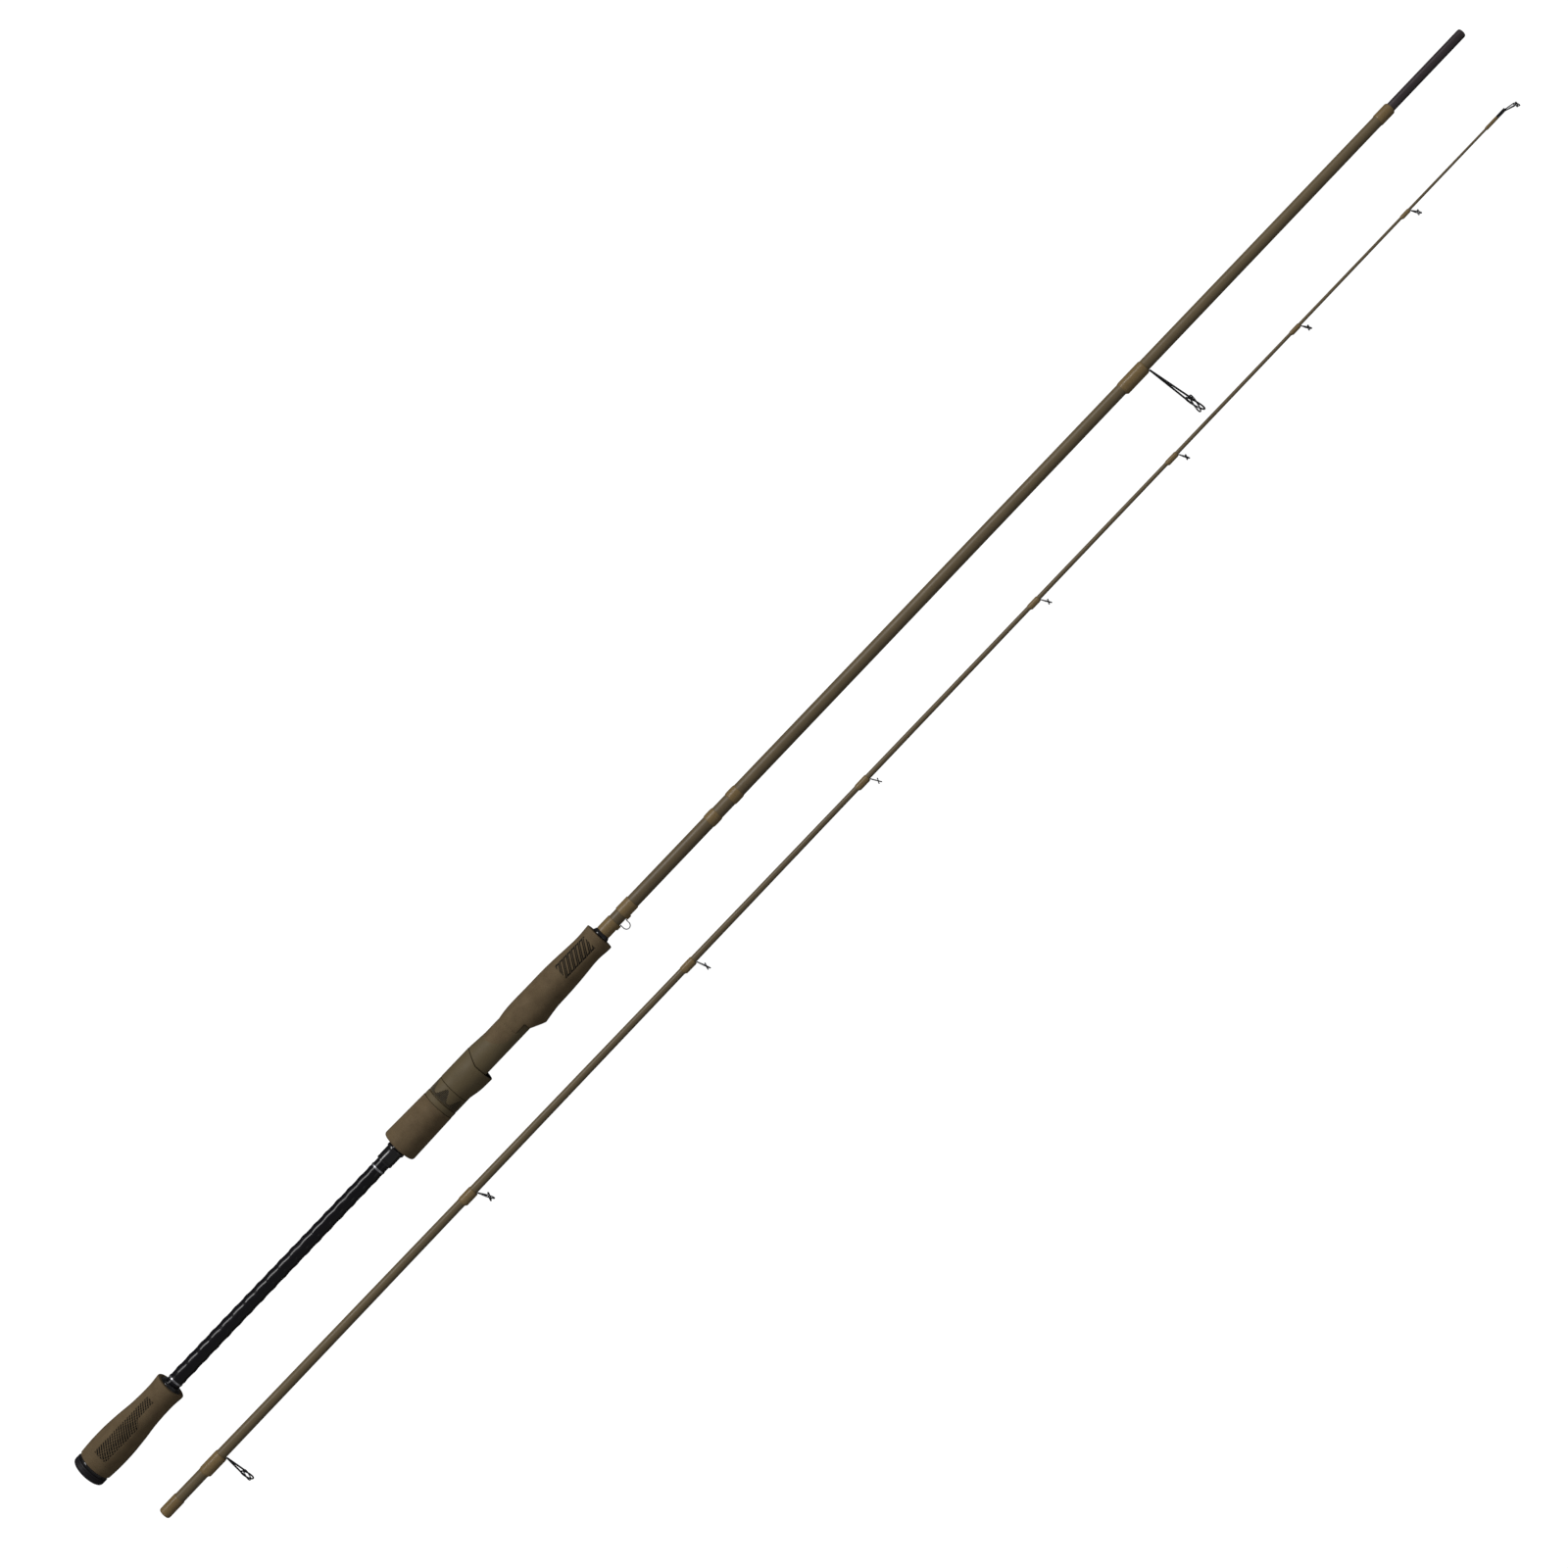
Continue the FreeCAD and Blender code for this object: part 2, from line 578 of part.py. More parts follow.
def make_sliding_hood():
    """The hood slides on the barrel without turning, and the nut behind it drives it."""
    bore, step, top = RUNNING_BORE, NUT_CORE_RADIUS, SHOULDER_RADIUS
    end = "hood_ring_len + seam"
    ring = [("0", bore), ("0", top), ("hood_ring_len", top), ("hood_ring_len", step), (end, step),
            (end, bore)]
    node(turned_body("hood_ring", ring, HOOD_RING_AT), "hood_ring")

    hood = doc.addObject("PartDesign::Body", "hood_body")
    lipped = f"{HOOD_RADIUS} + hood_lip / 2"
    loft(hood, [("0", "0", HOOD_RADIUS), ("hood_len * 0.12", "0", HOOD_RADIUS),
                ("hood_len * 0.35", "-hood_lip * 0.3", f"{HOOD_RADIUS} + hood_lip * 0.3"),
                ("hood_len * 0.6", "-hood_lip * 0.45", f"{HOOD_RADIUS} + hood_lip * 0.45"),
                ("hood_len * 0.85", "-hood_lip / 2", lipped), ("hood_len", "-hood_lip / 2", lipped)])
    turn(hood, "Groove", [("-1", "0"), ("-1", bore), ("hood_len + 1", bore), ("hood_len + 1", "0")])
    edge = "hood_len - hood_slant"
    slice_off(hood, [("hood_len", f"{HOOD_RADIUS} + 1"), (edge, "0"), (edge, WELL_BELOW),
                     ("hood_len + 1", WELL_BELOW), ("hood_len + 1", f"{HOOD_RADIUS} + 1")])
    place(hood, HOOD_AT)
    front = f"({HOOD_AT} + {edge})"
    radius, floor = f"({lipped} - hood_wall - liner_wall)", f"{POCKET_FLOOR} + nut_clearance"
    shell, filled = pocket_liner("sliding_liner", f"({front} - pocket_depth - liner_wall)", front,
                                 "-hood_lip / 2", radius, floor)
    core = bar("hood_core", bore, "hood_len", HOOD_AT)
    node(cut("liner_cut", shell, core), "sliding_hood_liner")
    node(cut("hood_cut", hood, filled), "sliding_hood")


def make_keeper():
    """Two wraps hold the ends of a hinged wire loop, which folds down to either side of the blank."""
    pin_y = f"(-({butt_radius_at(KEEPER_REAR)} + 3 * glue_gap + keeper_wire + keeper_clearance))"
    hole = "(keeper_wire + keeper_clearance)"
    depth = "(keeper_pin + 0.3)"
    sides = (("keeper_wrap_rear", KEEPER_REAR, f"{KEEPER_MID} - {depth}", "1"),
             ("keeper_wrap_front", KEEPER_FRONT, KEEPER_FRONT, "0"))
    for label, at, hole_at, back in sides:
        inner = blank_bore(butt_radius_at, at)
        top = f"{inner} + wrap_height"
        outline = [("0", "0"), ("0", top), ("keeper_wrap_len", top), ("keeper_wrap_len", "0")]
        wound = turned_body(f"{label}_wound", outline, at)
        for end in ("0", "keeper_wrap_len"):
            round_rim(wound, end, top, "wrap_height * 0.8")
        lug = bar(f"{label}_lug", f"{hole} + keeper_lug_wall", f"{depth} + 1", f"{hole_at} - {back}",
                  pin_y)
        whole = fuse(f"{label}_whole", [wound, lug])
        bore = bar(f"{label}_bore", inner, "keeper_wrap_len + 2", f"{at} - 1")
        drilled = bar(f"{label}_hole", hole, depth, hole_at, pin_y)
        node(cut(f"{label}_drilled", cut(f"{label}_bored", whole, bore), drilled), label)

    mid = f"({KEEPER_MID} + keeper_gap / 2)"
    bend = "(keeper_gap / 2 - keeper_wire * 2)"
    drop = f"(keeper_reach - {bend})"
    pieces = []
    for side, sign in (("rear", "-1"), ("front", "1")):
        elbow = f"({mid} + {sign} * {bend})"
        start = f"{elbow} - keeper_pin - keeper_wire * 2" if side == "rear" else elbow
        pin = bar(f"keeper_pin_{side}", "keeper_wire", "keeper_pin + keeper_wire * 2", start, pin_y)
        pieces.append(pin)
        knee = doc.addObject("Part::Sphere", f"keeper_knee_{side}")
        knee.setExpression("Radius", "sizes.keeper_wire")
        pieces.append(place(knee, elbow, pin_y))
        leg = doc.addObject("Part::Cylinder", f"keeper_leg_{side}")
        leg.setExpression("Radius", "sizes.keeper_wire")
        leg.setExpression("Height", bound(drop))
        leg.Placement.Rotation = Rotation(Vector(1, 0, 0), 90)
        pieces.append(place(leg, elbow, pin_y))
    arch = doc.addObject("Part::Torus", "keeper_arch")
    arch.setExpression("Radius1", bound(bend))
    arch.setExpression("Radius2", "sizes.keeper_wire")
    arch.Angle3 = 180
    arch.Placement.Rotation = Rotation(Vector(0, 0, 1), 180)
    pieces.append(place(arch, mid, f"{pin_y} - {drop}"))
    node(fuse("keeper_loop", pieces), "hook_keeper")


def make_butt_wraps():
    for number, label in enumerate(("trim_wrap_rear", "trim_wrap_front")):
        at = f"(trim_wrap_at + {number} * (trim_wrap_len + trim_wrap_gap))"
        wrap_on(label, butt_radius_at, at, "trim_wrap_len", "wrap_height")
    at = f"({BUTT_BLANK_FRONT} - ferrule_wrap_len - 0.2)"
    wrap_on("ferrule_wrap_butt", butt_radius_at, at, "ferrule_wrap_len", "ferrule_wrap_height")


def make_tip_blank():
    """A tapered tube whose thick end is a socket for the spigot, with a wrap to stop it splitting."""
    length = "tip_blank_len"
    socket, depth = SOCKET_RADIUS, "spigot_out + 1"
    outline = [("0", socket), ("0", TIP_BASE_RADIUS), (TIP_MID, "tip_mid_radius"),
               (length, "tip_end_radius"), (length, "tip_end_bore"),
               (TIP_MID, "tip_mid_radius - blank_wall * 0.7"), (depth, f"{socket} - 0.3"), (depth, socket)]
    node(turned_body("tip_blank", outline, "tip_start", TIP_Y, TIP_Z), "tip_blank")
    wrap_on("ferrule_wrap_tip", tip_radius_at, "(tip_start + 0.2)", "tip_ferrule_wrap_len",
            "ferrule_wrap_height", TIP_Y, TIP_Z)


def turned_wire(name, ring, wire, seat):
    """A closed hoop of round wire about the X axis, its inner side ground flat at the seat's radius."""
    body = doc.addObject("PartDesign::Body", name)
    sketch = body.newObject("Sketcher::SketchObject", f"{name}_wire")
    sketch.AttachmentSupport = [(plane_of(body, "XY_Plane"), "")]
    sketch.MapMode = "FlatFace"
    centre, radius = value_of(ring), value_of(wire)
    start = math.asin((value_of(seat) - centre) / radius)
    circle = Part.Circle(Vector(0, centre, 0), Vector(0, 0, 1), radius)
    sketch.addGeometry(Part.ArcOfCircle(circle, start, math.pi - start), False)
    half, low = radius * math.cos(start), value_of(seat)
    sketch.addGeometry(Part.LineSegment(Vector(-half, low, 0), Vector(half, low, 0)), False)
    sketch.addConstraint(Sketcher.Constraint("Coincident", 0, 2, 1, 1))
    sketch.addConstraint(Sketcher.Constraint("Coincident", 0, 1, 1, 2))
    sketch.addConstraint(Sketcher.Constraint("Horizontal", 1))
    sizes = (("DistanceX", (-1, 1, 0, 3), "0"), ("DistanceY", (-1, 1, 0, 3), ring),
             ("DistanceY", (-1, 1, 1, 1), seat), ("Radius", (0,), wire))
    for way, places, text in sizes:
        made = sketch.addConstraint(Sketcher.Constraint(way, *places, value_of(text)))
        sketch.setExpression(f"Constraints[{made}]", bound(text))
    hoop = body.newObject("PartDesign::Revolution", "Hoop")
    hoop.Profile = sketch
    hoop.ReferenceAxis = (sketch, ["H_Axis"])
    hoop.Angle = 360
    return body


def leaned(thing, angle):
    """Turns a thing about Z, so that what points to -Y leans toward the tip."""
    thing.Placement.Rotation = Rotation(Vector(0, 0, 1), value_of(angle))
    thing.setExpression("Placement.Rotation.Angle", bound(f"{angle} * 1 deg"))
    return thing


def rim_radius(bore, wall, wire):
    """The radius of a hoop's wire centre, round an insert that is let into it."""
    return f"({bore} + {wall} - guide_seat + {wire})"


def hoop_on_legs(own, root, ring_at, bore, wall, wire, leans, y, z):
    """A wire ring on two legs that rise from one root to its sides, and the hard insert in the ring."""
    rim = rim_radius(bore, wall, wire)
    reach, lean, ring_lean = leans
    seat = f"({bore} + {wall})"
    rear, front = f"-0.9 * {wire}", f"0.9 * {wire}"
    outline = [(rear, bore), (rear, seat), (front, seat), (front, bore)]
    insert = turned_body(f"{own}insert", outline, *ring_at, z)
    leaned(insert, ring_lean)
    for end in (rear, front):
        round_rim(insert, end, bore, f"{wall} * 0.45")
    hoop = turned_wire(f"{own}hoop", rim, wire, seat)
    leaned(place(hoop, *ring_at, z), ring_lean)
    legs = []
    apart = f"({seat} + 1.12 * {wire} + 0.02)"
    spread = f"asin({apart} / {reach})"
    for side, sign in (("upper", "-"), ("lower", "+")):
        leg = doc.addObject("Part::Cylinder", f"{own}leg_{side}")
        leg.setExpression("Radius", bound(f"{wire} * 1.12"))
        leg.setExpression("Height", bound(f"sqrt({reach} ^ 2 - {apart} ^ 2)"))
        turn_by = f"90 deg {sign} {spread}"
        leg.Placement.Rotation = Rotation(Vector(1, 0, 0), value_of(turn_by))
        leg.setExpression("Placement.Rotation.Angle", bound(turn_by))
        legs.append(leg)
    fork = fuse(f"{own}fork", legs)
    leaned(place(fork, *root, z), lean)
    return insert, [hoop, fork]


def make_guide(number):
    """A single-foot guide: its foot lies on the blank under a wrap, and two legs carry its ring."""
    own = f"guide_{number}_"
    size = {field: own + field for field in GUIDE_FIELDS}
    radius_at, y, z = (butt_radius_at, "0", "0") if number == 1 else (tip_radius_at, TIP_Y, TIP_Z)
    at, wire, thick, wrap = size["at"], size["wire"], size["thick"], size["wrap"]
    lap, wrap_at = size["lap"], f"({at} - {wrap} - {thick})"
    inner = blank_bore(radius_at, wrap_at)
    root = f"({inner} - glue_gap / 2 + {thick} / 2)"
    root_y = f"({y} - {root})"
    rise = f"({size['height']} - {root})"
    reach = f"({rise} / cos({size['lean']}))"
    ring_at = (f"({at} + {rise} * tan({size['lean']}))", f"({root_y} - {rise})")
    leans = (reach, size["lean"], f"({size['lean']} + {size['tilt']})")
    ring = (size["bore"], size["wall"], wire)
    insert, pieces = hoop_on_legs(own, (at, root_y), ring_at, *ring, leans, y, z)
    node(insert, f"{own}ring")
    foot = block(f"{own}tongue", (size["foot"], thick, size["width"]), f"{at} - {size['foot']}",
                 f"{root_y} - {thick} / 2", f"{z} - {size['width']} / 2")
    knuckle = doc.addObject("Part::Sphere", f"{own}knuckle")
    knuckle.setExpression("Radius", bound(f"{thick} / 2"))
    place(knuckle, at, root_y, z)
    frame = node(fuse(f"{own}whole", pieces + [foot, knuckle]), f"{own}frame")

    top = f"({inner} + {lap} + {thick} / 2)"
    low = f"{top} - {lap} * 0.7"
    outline = [("0", "0"), ("0", low), (f"3 * {lap}", top), (f"{wrap} - {lap}", top), (wrap, low),
               (wrap, "0")]
    wound = turned_body(f"{own}wound", outline, wrap_at, f"{y} - {thick} / 2", z)
    bore = bar(f"{own}bore", inner, f"{wrap} + 2", f"{wrap_at} - 1", y, z)
    node(cut(f"{own}wrapped", cut(f"{own}bored", wound, bore), frame), f"{own}wrap")


def make_tip_top():
    """The last guide: a tube over the blank's end, with its ring held ahead of it on two wire legs."""
    own, y, z = "tip_top_", TIP_Y, TIP_Z
    rear = f"({TIP_FRONT} - tip_tube_len + 1)"
    inner = blank_bore(tip_radius_at, rear)
    outer = f"({inner} + tip_tube_wall)"
    end = "tip_tube_len - 0.8"
    tube = turned_body("tip_tube", [("0", inner), ("0", outer), ("tip_tube_len", outer),
                                    ("tip_tube_len", "0"), (end, "0"), (end, inner)], rear, y, z)
    root = (f"({TIP_FRONT} + 0.4)", f"({y} - {outer} + tip_wire)")
    ring_at = (f"({TIP_FRONT} + tip_ring_ahead)", f"({y} - tip_ring_height)")
    run, rise = f"(tip_ring_ahead - 0.4)", f"(tip_ring_height - {outer} + tip_wire)"
    leans = (f"sqrt({run} ^ 2 + {rise} ^ 2)", f"(atan({run} / {rise}) / 1 deg)", "tip_ring_lean")
    ring = ("tip_insert_bore", "tip_insert_wall", "tip_wire")
    insert, pieces = hoop_on_legs(own, root, ring_at, *ring, leans, y, z)
    node(insert, "tip_top_ring")
    rim = rim_radius(*ring)
    ahead = f"({run} - {rim} * sin(tip_ring_lean))"
    down = f"(tip_ring_height - {rim} * cos(tip_ring_lean))"
    length = f"sqrt({ahead} ^ 2 + {down} ^ 2)"
    stay = turned_body("tip_stay", sleeve_outline(length, "0", "tip_wire"), root[0], y, z)
    leaned(stay, f"(-atan({down} / {ahead}) / 1 deg)")
    clear = cut("tip_stay_clear", stay, insert)
    node(fuse("tip_top_whole", pieces + [tube, clear]), "tip_top_frame")
    wrap_on("tip_wrap", tip_radius_at, f"({rear} - tip_wrap_len)", "tip_wrap_len", "tip_wrap_height", y, z)


def write_nodes():
    """Writes each sub-part to a file of its own, once every object of the document is sound."""
    doc.recompute()
    for thing in doc.Objects:
        if {"Invalid", "Error"} & set(thing.State):
            raise RuntimeError(f"{thing.Label} is {thing.State}")
    for thing in nodes:
        if thing.Shape.isNull() or not thing.Shape.isValid() or not thing.Shape.Solids:
            raise RuntimeError(f"{thing.Label} has no sound solid")
    os.makedirs("parts", exist_ok=True)
    for thing in nodes:
        thing.Shape.exportStep(f"parts/{thing.Label}.step")
        box = thing.Shape.BoundBox
        print(f"{thing.Label:20s} {len(thing.Shape.Solids)} solid, {thing.Shape.Volume:10.2f} mm3, "
              f"x {box.XMin:8.1f} to {box.XMax:8.1f}, y {box.YMin:6.1f} to {box.YMax:6.1f}")


make_rear_grip()
make_butt_blank()
make_handle_trim()
make_reel_seat()
make_locking_nut()
make_sliding_hood()
make_keeper()
make_butt_wraps()
make_tip_blank()
for number in GUIDES:
    make_guide(number)
make_tip_top()
write_nodes()
print(len(nodes), "nodes")
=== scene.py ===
# %% [markdown]
# A two-piece spinning rod, taken apart. The butt section lies along X with its cap at x = 0,
# and the thinner tip section lies beside it. Both point their guides to -Y.
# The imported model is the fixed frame. It says where every part is, and this lesson gives each part
# the shape and the finish that a rod builder would recognise.

# %% The frame
import math
import bpy
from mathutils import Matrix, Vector


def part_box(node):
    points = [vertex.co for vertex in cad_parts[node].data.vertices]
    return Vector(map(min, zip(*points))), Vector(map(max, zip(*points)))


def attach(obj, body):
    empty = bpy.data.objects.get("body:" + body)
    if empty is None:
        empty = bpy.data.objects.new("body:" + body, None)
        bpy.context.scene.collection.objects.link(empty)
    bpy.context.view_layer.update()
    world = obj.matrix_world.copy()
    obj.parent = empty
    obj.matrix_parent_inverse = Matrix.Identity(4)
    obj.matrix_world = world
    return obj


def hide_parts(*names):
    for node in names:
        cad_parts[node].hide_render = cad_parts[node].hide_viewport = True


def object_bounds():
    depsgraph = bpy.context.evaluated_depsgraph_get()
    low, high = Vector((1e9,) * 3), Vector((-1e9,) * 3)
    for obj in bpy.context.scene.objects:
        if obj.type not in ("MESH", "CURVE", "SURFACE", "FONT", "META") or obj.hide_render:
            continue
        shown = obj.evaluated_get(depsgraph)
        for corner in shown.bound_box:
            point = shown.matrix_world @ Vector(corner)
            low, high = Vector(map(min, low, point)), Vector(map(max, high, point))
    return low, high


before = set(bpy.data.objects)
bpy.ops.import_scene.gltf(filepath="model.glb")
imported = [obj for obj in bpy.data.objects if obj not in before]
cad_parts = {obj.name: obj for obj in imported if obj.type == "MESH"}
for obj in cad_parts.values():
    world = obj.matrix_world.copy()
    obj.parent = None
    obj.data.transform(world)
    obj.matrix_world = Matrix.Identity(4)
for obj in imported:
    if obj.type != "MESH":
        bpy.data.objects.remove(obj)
cad_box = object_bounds()
MM = 0.001
TAU = 2 * math.pi

# %% [markdown]
# The camera looks straight down on the rod from a little under two metres, turned so that the rod
# runs up the frame's diagonal. A camera that is not far away shows round parts near the frame's
# corners a little from one side. A long lens would flatten that, so the distance is chosen first
# and the lens is the one that fits the frame to it.

# %% Camera
CAMERA_HEIGHT = 1.9
CAMERA_TURN = math.radians(-46.34)
FRAME_WIDTH = 1.0523
SENSOR_WIDTH = 36
CAMERA_PLACE = (0.657, -0.019, CAMERA_HEIGHT)

camera_data = bpy.data.cameras.new("camera")
camera_data.sensor_width = SENSOR_WIDTH
camera_data.lens = SENSOR_WIDTH * CAMERA_HEIGHT / FRAME_WIDTH
camera = bpy.data.objects.new("camera", camera_data)
camera.location = CAMERA_PLACE
camera.rotation_euler = (0, 0, CAMERA_TURN)
bpy.context.scene.collection.objects.link(camera)
bpy.context.scene.camera = camera
print("lens:", round(camera_data.lens, 1), "mm")

# %% [markdown]
# A studio for a small product is mostly white: a pale sheet under it, white all round it, and one
# large soft lamp to a side, which gives a round bar its bright line and its dark edge. The lamps
# here stand on the +Y side. The camera sees the floor as a lit sheet of acrylic, without a shadow,
# while the rod only gets the weak light that a grey sheet would throw back.

# %% Studio
ROD_MIDDLE = (0.66, -0.02, 0)
FLOOR_SIZE, FLOOR_GAP = 12, 0.0001


def clear():
    """Nothing selected, and no edit mode left on."""
    if bpy.context.object and bpy.context.object.mode != "OBJECT":
        bpy.ops.object.mode_set(mode="OBJECT")
    bpy.ops.object.select_all(action="DESELECT")


clear()
bpy.ops.mesh.primitive_plane_add(size=FLOOR_SIZE, location=(ROD_MIDDLE[0], 0, cad_box[0].z - FLOOR_GAP))
floor = bpy.context.object
floor.name = "floor"
sheet = bpy.data.materials.new("pale_floor")
sheet.use_nodes = True
sheet_shader = sheet.node_tree.nodes["Principled BSDF"]
sheet_shader.inputs["Base Color"].default_value = (0.12, 0.12, 0.12, 1)
sheet_shader.inputs["Roughness"].default_value = 0.9
sheet_shader.inputs["Specular IOR Level"].default_value = 0
sheet_shader.inputs["Emission Color"].default_value = (1, 1, 1, 1)
seen = sheet.node_tree.nodes.new("ShaderNodeLightPath")
sheet.node_tree.links.new(seen.outputs["Is Camera Ray"], sheet_shader.inputs["Emission Strength"])
floor.data.materials.append(sheet)

world = bpy.data.worlds.new("studio")
world.use_nodes = True
world.node_tree.nodes["Background"].inputs["Color"].default_value = (1, 1, 1, 1)
world.node_tree.nodes["Background"].inputs["Strength"].default_value = 0.25
bpy.context.scene.world = world
bpy.context.scene.view_settings.view_transform = "Standard"


def softbox(name, place, size, power):
    """A rectangular lamp that faces the middle of the rod."""
    lamp = bpy.data.lights.new(name, "AREA")
    lamp.shape = "RECTANGLE"
    lamp.size, lamp.size_y = size
    lamp.energy = power
    stand = bpy.data.objects.new(name, lamp)
    stand.location = place
    aim = Vector(ROD_MIDDLE) - Vector(place)
    stand.rotation_euler = aim.to_track_quat("-Z", "Y").to_euler()
    bpy.context.scene.collection.objects.link(stand)


softbox("key", (0.45, 2.3, 1.7), (2.6, 0.9), 64)
softbox("fill", (1.1, -2.2, 2.2), (2.6, 1.2), 3)

# %% [markdown]
# Colours are written as a paint chart gives them, in sRGB, while the shaders want linear light, so
# one helper turns the one into the other. A second helper wires a node: it places one in a tree and
# joins or sets each of its inputs, by its name or, where names repeat, by its index.

# %% Colour and node helpers
def paint(chart):
    """A linear RGBA colour from an sRGB chart value such as 574b36."""
    parts = [int(chart[i:i + 2], 16) / 255 for i in (0, 2, 4)]
    return tuple(p / 12.92 if p < 0.0405 else ((p + 0.055) / 1.055) ** 2.4 for p in parts) + (1,)


def wire(tree, kind, settings=None, **inputs):
    """A node of this kind. An input is its name, or i and its index. Its value is a number, a
    colour, or another node's output."""
    made = tree.nodes.new(kind)
    for key, value in (settings or {}).items():
        setattr(made, key, value)
    for key, value in inputs.items():
        indexed = key[0] == "i" and key[1:].isdigit()
        socket = made.inputs[int(key[1:]) if indexed else key.replace("_", " ")]
        if isinstance(value, bpy.types.NodeSocket):
            tree.links.new(value, socket)
        else:
            socket.default_value = value
    return made


def calc(tree, operation, *values):
    """A Math node's result."""
    inputs = {f"i{index}": value for index, value in enumerate(values)}
    return wire(tree, "ShaderNodeMath", {"operation": operation}, **inputs).outputs[0]


def mix_colours(tree, factor, first, second):
    """A colour between the first, where the factor is 0, and the second, where it is 1."""
    return wire(tree, "ShaderNodeMix", {"data_type": "RGBA"}, i0=factor, i6=first, i7=second).outputs[2]


def group(name, takes, gives):
    """An empty node group. takes lists (name, kind, start value), and gives lists (name, kind)."""
    tree = bpy.data.node_groups.new(name, "ShaderNodeTree")
    for socket, kind, start in takes:
        made = tree.interface.new_socket(socket, in_out="INPUT", socket_type=f"NodeSocket{kind}")
        made.default_value = start
    for socket, kind in gives:
        tree.interface.new_socket(socket, in_out="OUTPUT", socket_type=f"NodeSocket{kind}")
    entry, result = tree.nodes.new("NodeGroupInput"), tree.nodes.new("NodeGroupOutput")
    return tree, entry.outputs, result.inputs


# %% [markdown]
# Foam, moulded plastic and painted graphite all owe their look to a fine, uneven grain, at
# different sizes. One group makes it: two noises, one fine and one broad, mix a dark and a light
# tone of the same colour, and their sum is a height for a bump.

# %% Group: grain
grain_group, g_in, g_out = group(
    "Grain",
    [("Dark", "Color", (0.1, 0.1, 0.1, 1)), ("Light", "Color", (0.2, 0.2, 0.2, 1)),
     ("Size", "Float", 900.0), ("Blotches", "Float", 0.35)],
    [("Colour", "Color"), ("Height", "Float")])
grain_place = wire(grain_group, "ShaderNodeTexCoord").outputs["Object"]
fine = wire(grain_group, "ShaderNodeTexNoise", Vector=grain_place, Scale=g_in["Size"], Detail=3.0,
            Roughness=0.6).outputs["Fac"]
broad_size = calc(grain_group, "MULTIPLY", g_in["Size"], 0.055)
broad = wire(grain_group, "ShaderNodeTexNoise", Vector=grain_place, Scale=broad_size, Detail=2.0,
             Roughness=0.5).outputs["Fac"]
spread = wire(grain_group, "ShaderNodeMix", {"data_type": "FLOAT"}, Factor=g_in["Blotches"], i2=fine,
              i3=broad).outputs[0]
toned = wire(grain_group, "ShaderNodeMapRange", Value=spread, From_Min=0.3, From_Max=0.7).outputs[0]
grain_group.links.new(mix_colours(grain_group, toned, g_in["Dark"], g_in["Light"]), g_out["Colour"])
grain_group.links.new(fine, g_out["Height"])

# %% [markdown]
# Where a hand or a table rubs a rod, its outer edges turn paler and smoother; its grooves get painted
# shade. Geometry's Pointiness knows which points stand out and which lie low. The group puts out the
# colour that results, and a mask that a material can use for its roughness.

# %% Group: edge wear and painted shade
wear_and_shade_group, w_in, w_out = group(
    "Edge wear and painted shade",
    [("Colour", "Color", (0.1, 0.1, 0.1, 1)), ("Rubbed", "Color", (0.3, 0.3, 0.3, 1)),
     ("Amount", "Float", 0.5)],
    [("Colour", "Color"), ("Mask", "Float")])
pointed = wire(wear_and_shade_group, "ShaderNodeNewGeometry").outputs["Pointiness"]
high = wire(wear_and_shade_group, "ShaderNodeMapRange", Value=pointed, From_Min=0.515, From_Max=0.58).outputs[0]
low = wire(wear_and_shade_group, "ShaderNodeMapRange", Value=pointed, From_Min=0.5, From_Max=0.42).outputs[0]
rubbed = calc(wear_and_shade_group, "MULTIPLY", high, w_in["Amount"])
paler = mix_colours(wear_and_shade_group, rubbed, w_in["Colour"], w_in["Rubbed"])
# Painted shade: the points that lie low are darkened toward near black, by up to three quarters.
sunk = calc(wear_and_shade_group, "MULTIPLY", low, 0.75)
HOLLOW_SHADE = (0.006, 0.005, 0.004, 1)
wear_and_shade_group.links.new(mix_colours(wear_and_shade_group, sunk, paler, HOLLOW_SHADE), w_out["Colour"])
wear_and_shade_group.links.new(rubbed, w_out["Mask"])

# %% [markdown]
# Thread is wound round a blank at about four turns to the millimetre and then sealed with resin.
# Rings across X are close enough to its fine helix. The group gives their height and a mask for the
# darker gaps between the turns, and lets the pitch drift a little, as a hand-turned wrap does.

# %% Group: winding
winding_group, t_in, t_out = group(
    "Winding",
    [("Pitch", "Float", 0.00026), ("Drift", "Float", 0.3)],
    [("Height", "Float"), ("Gap", "Float")])
winding_place = wire(winding_group, "ShaderNodeTexCoord").outputs["Object"]
along = wire(winding_group, "ShaderNodeSeparateXYZ", Vector=winding_place).outputs["X"]
uneven = wire(winding_group, "ShaderNodeTexNoise", Vector=winding_place, Scale=700.0,
              Detail=1.0).outputs["Fac"]
turns = calc(winding_group, "ADD", calc(winding_group, "DIVIDE", along, t_in["Pitch"]),
             calc(winding_group, "MULTIPLY", uneven, t_in["Drift"]))
half_turns = calc(winding_group, "MULTIPLY", turns, math.pi)
ridge = calc(winding_group, "ABSOLUTE", calc(winding_group, "SINE", half_turns))
winding_group.links.new(ridge, t_out["Height"])
between = wire(winding_group, "ShaderNodeMapRange", Value=ridge, From_Min=0.35, From_Max=0.0).outputs[0]
winding_group.links.new(between, t_out["Gap"])

# %% [markdown]
# Nothing that is handled stays evenly shiny. A slow noise spreads the roughness round its middle
# value, and that breaks up every highlight a little.

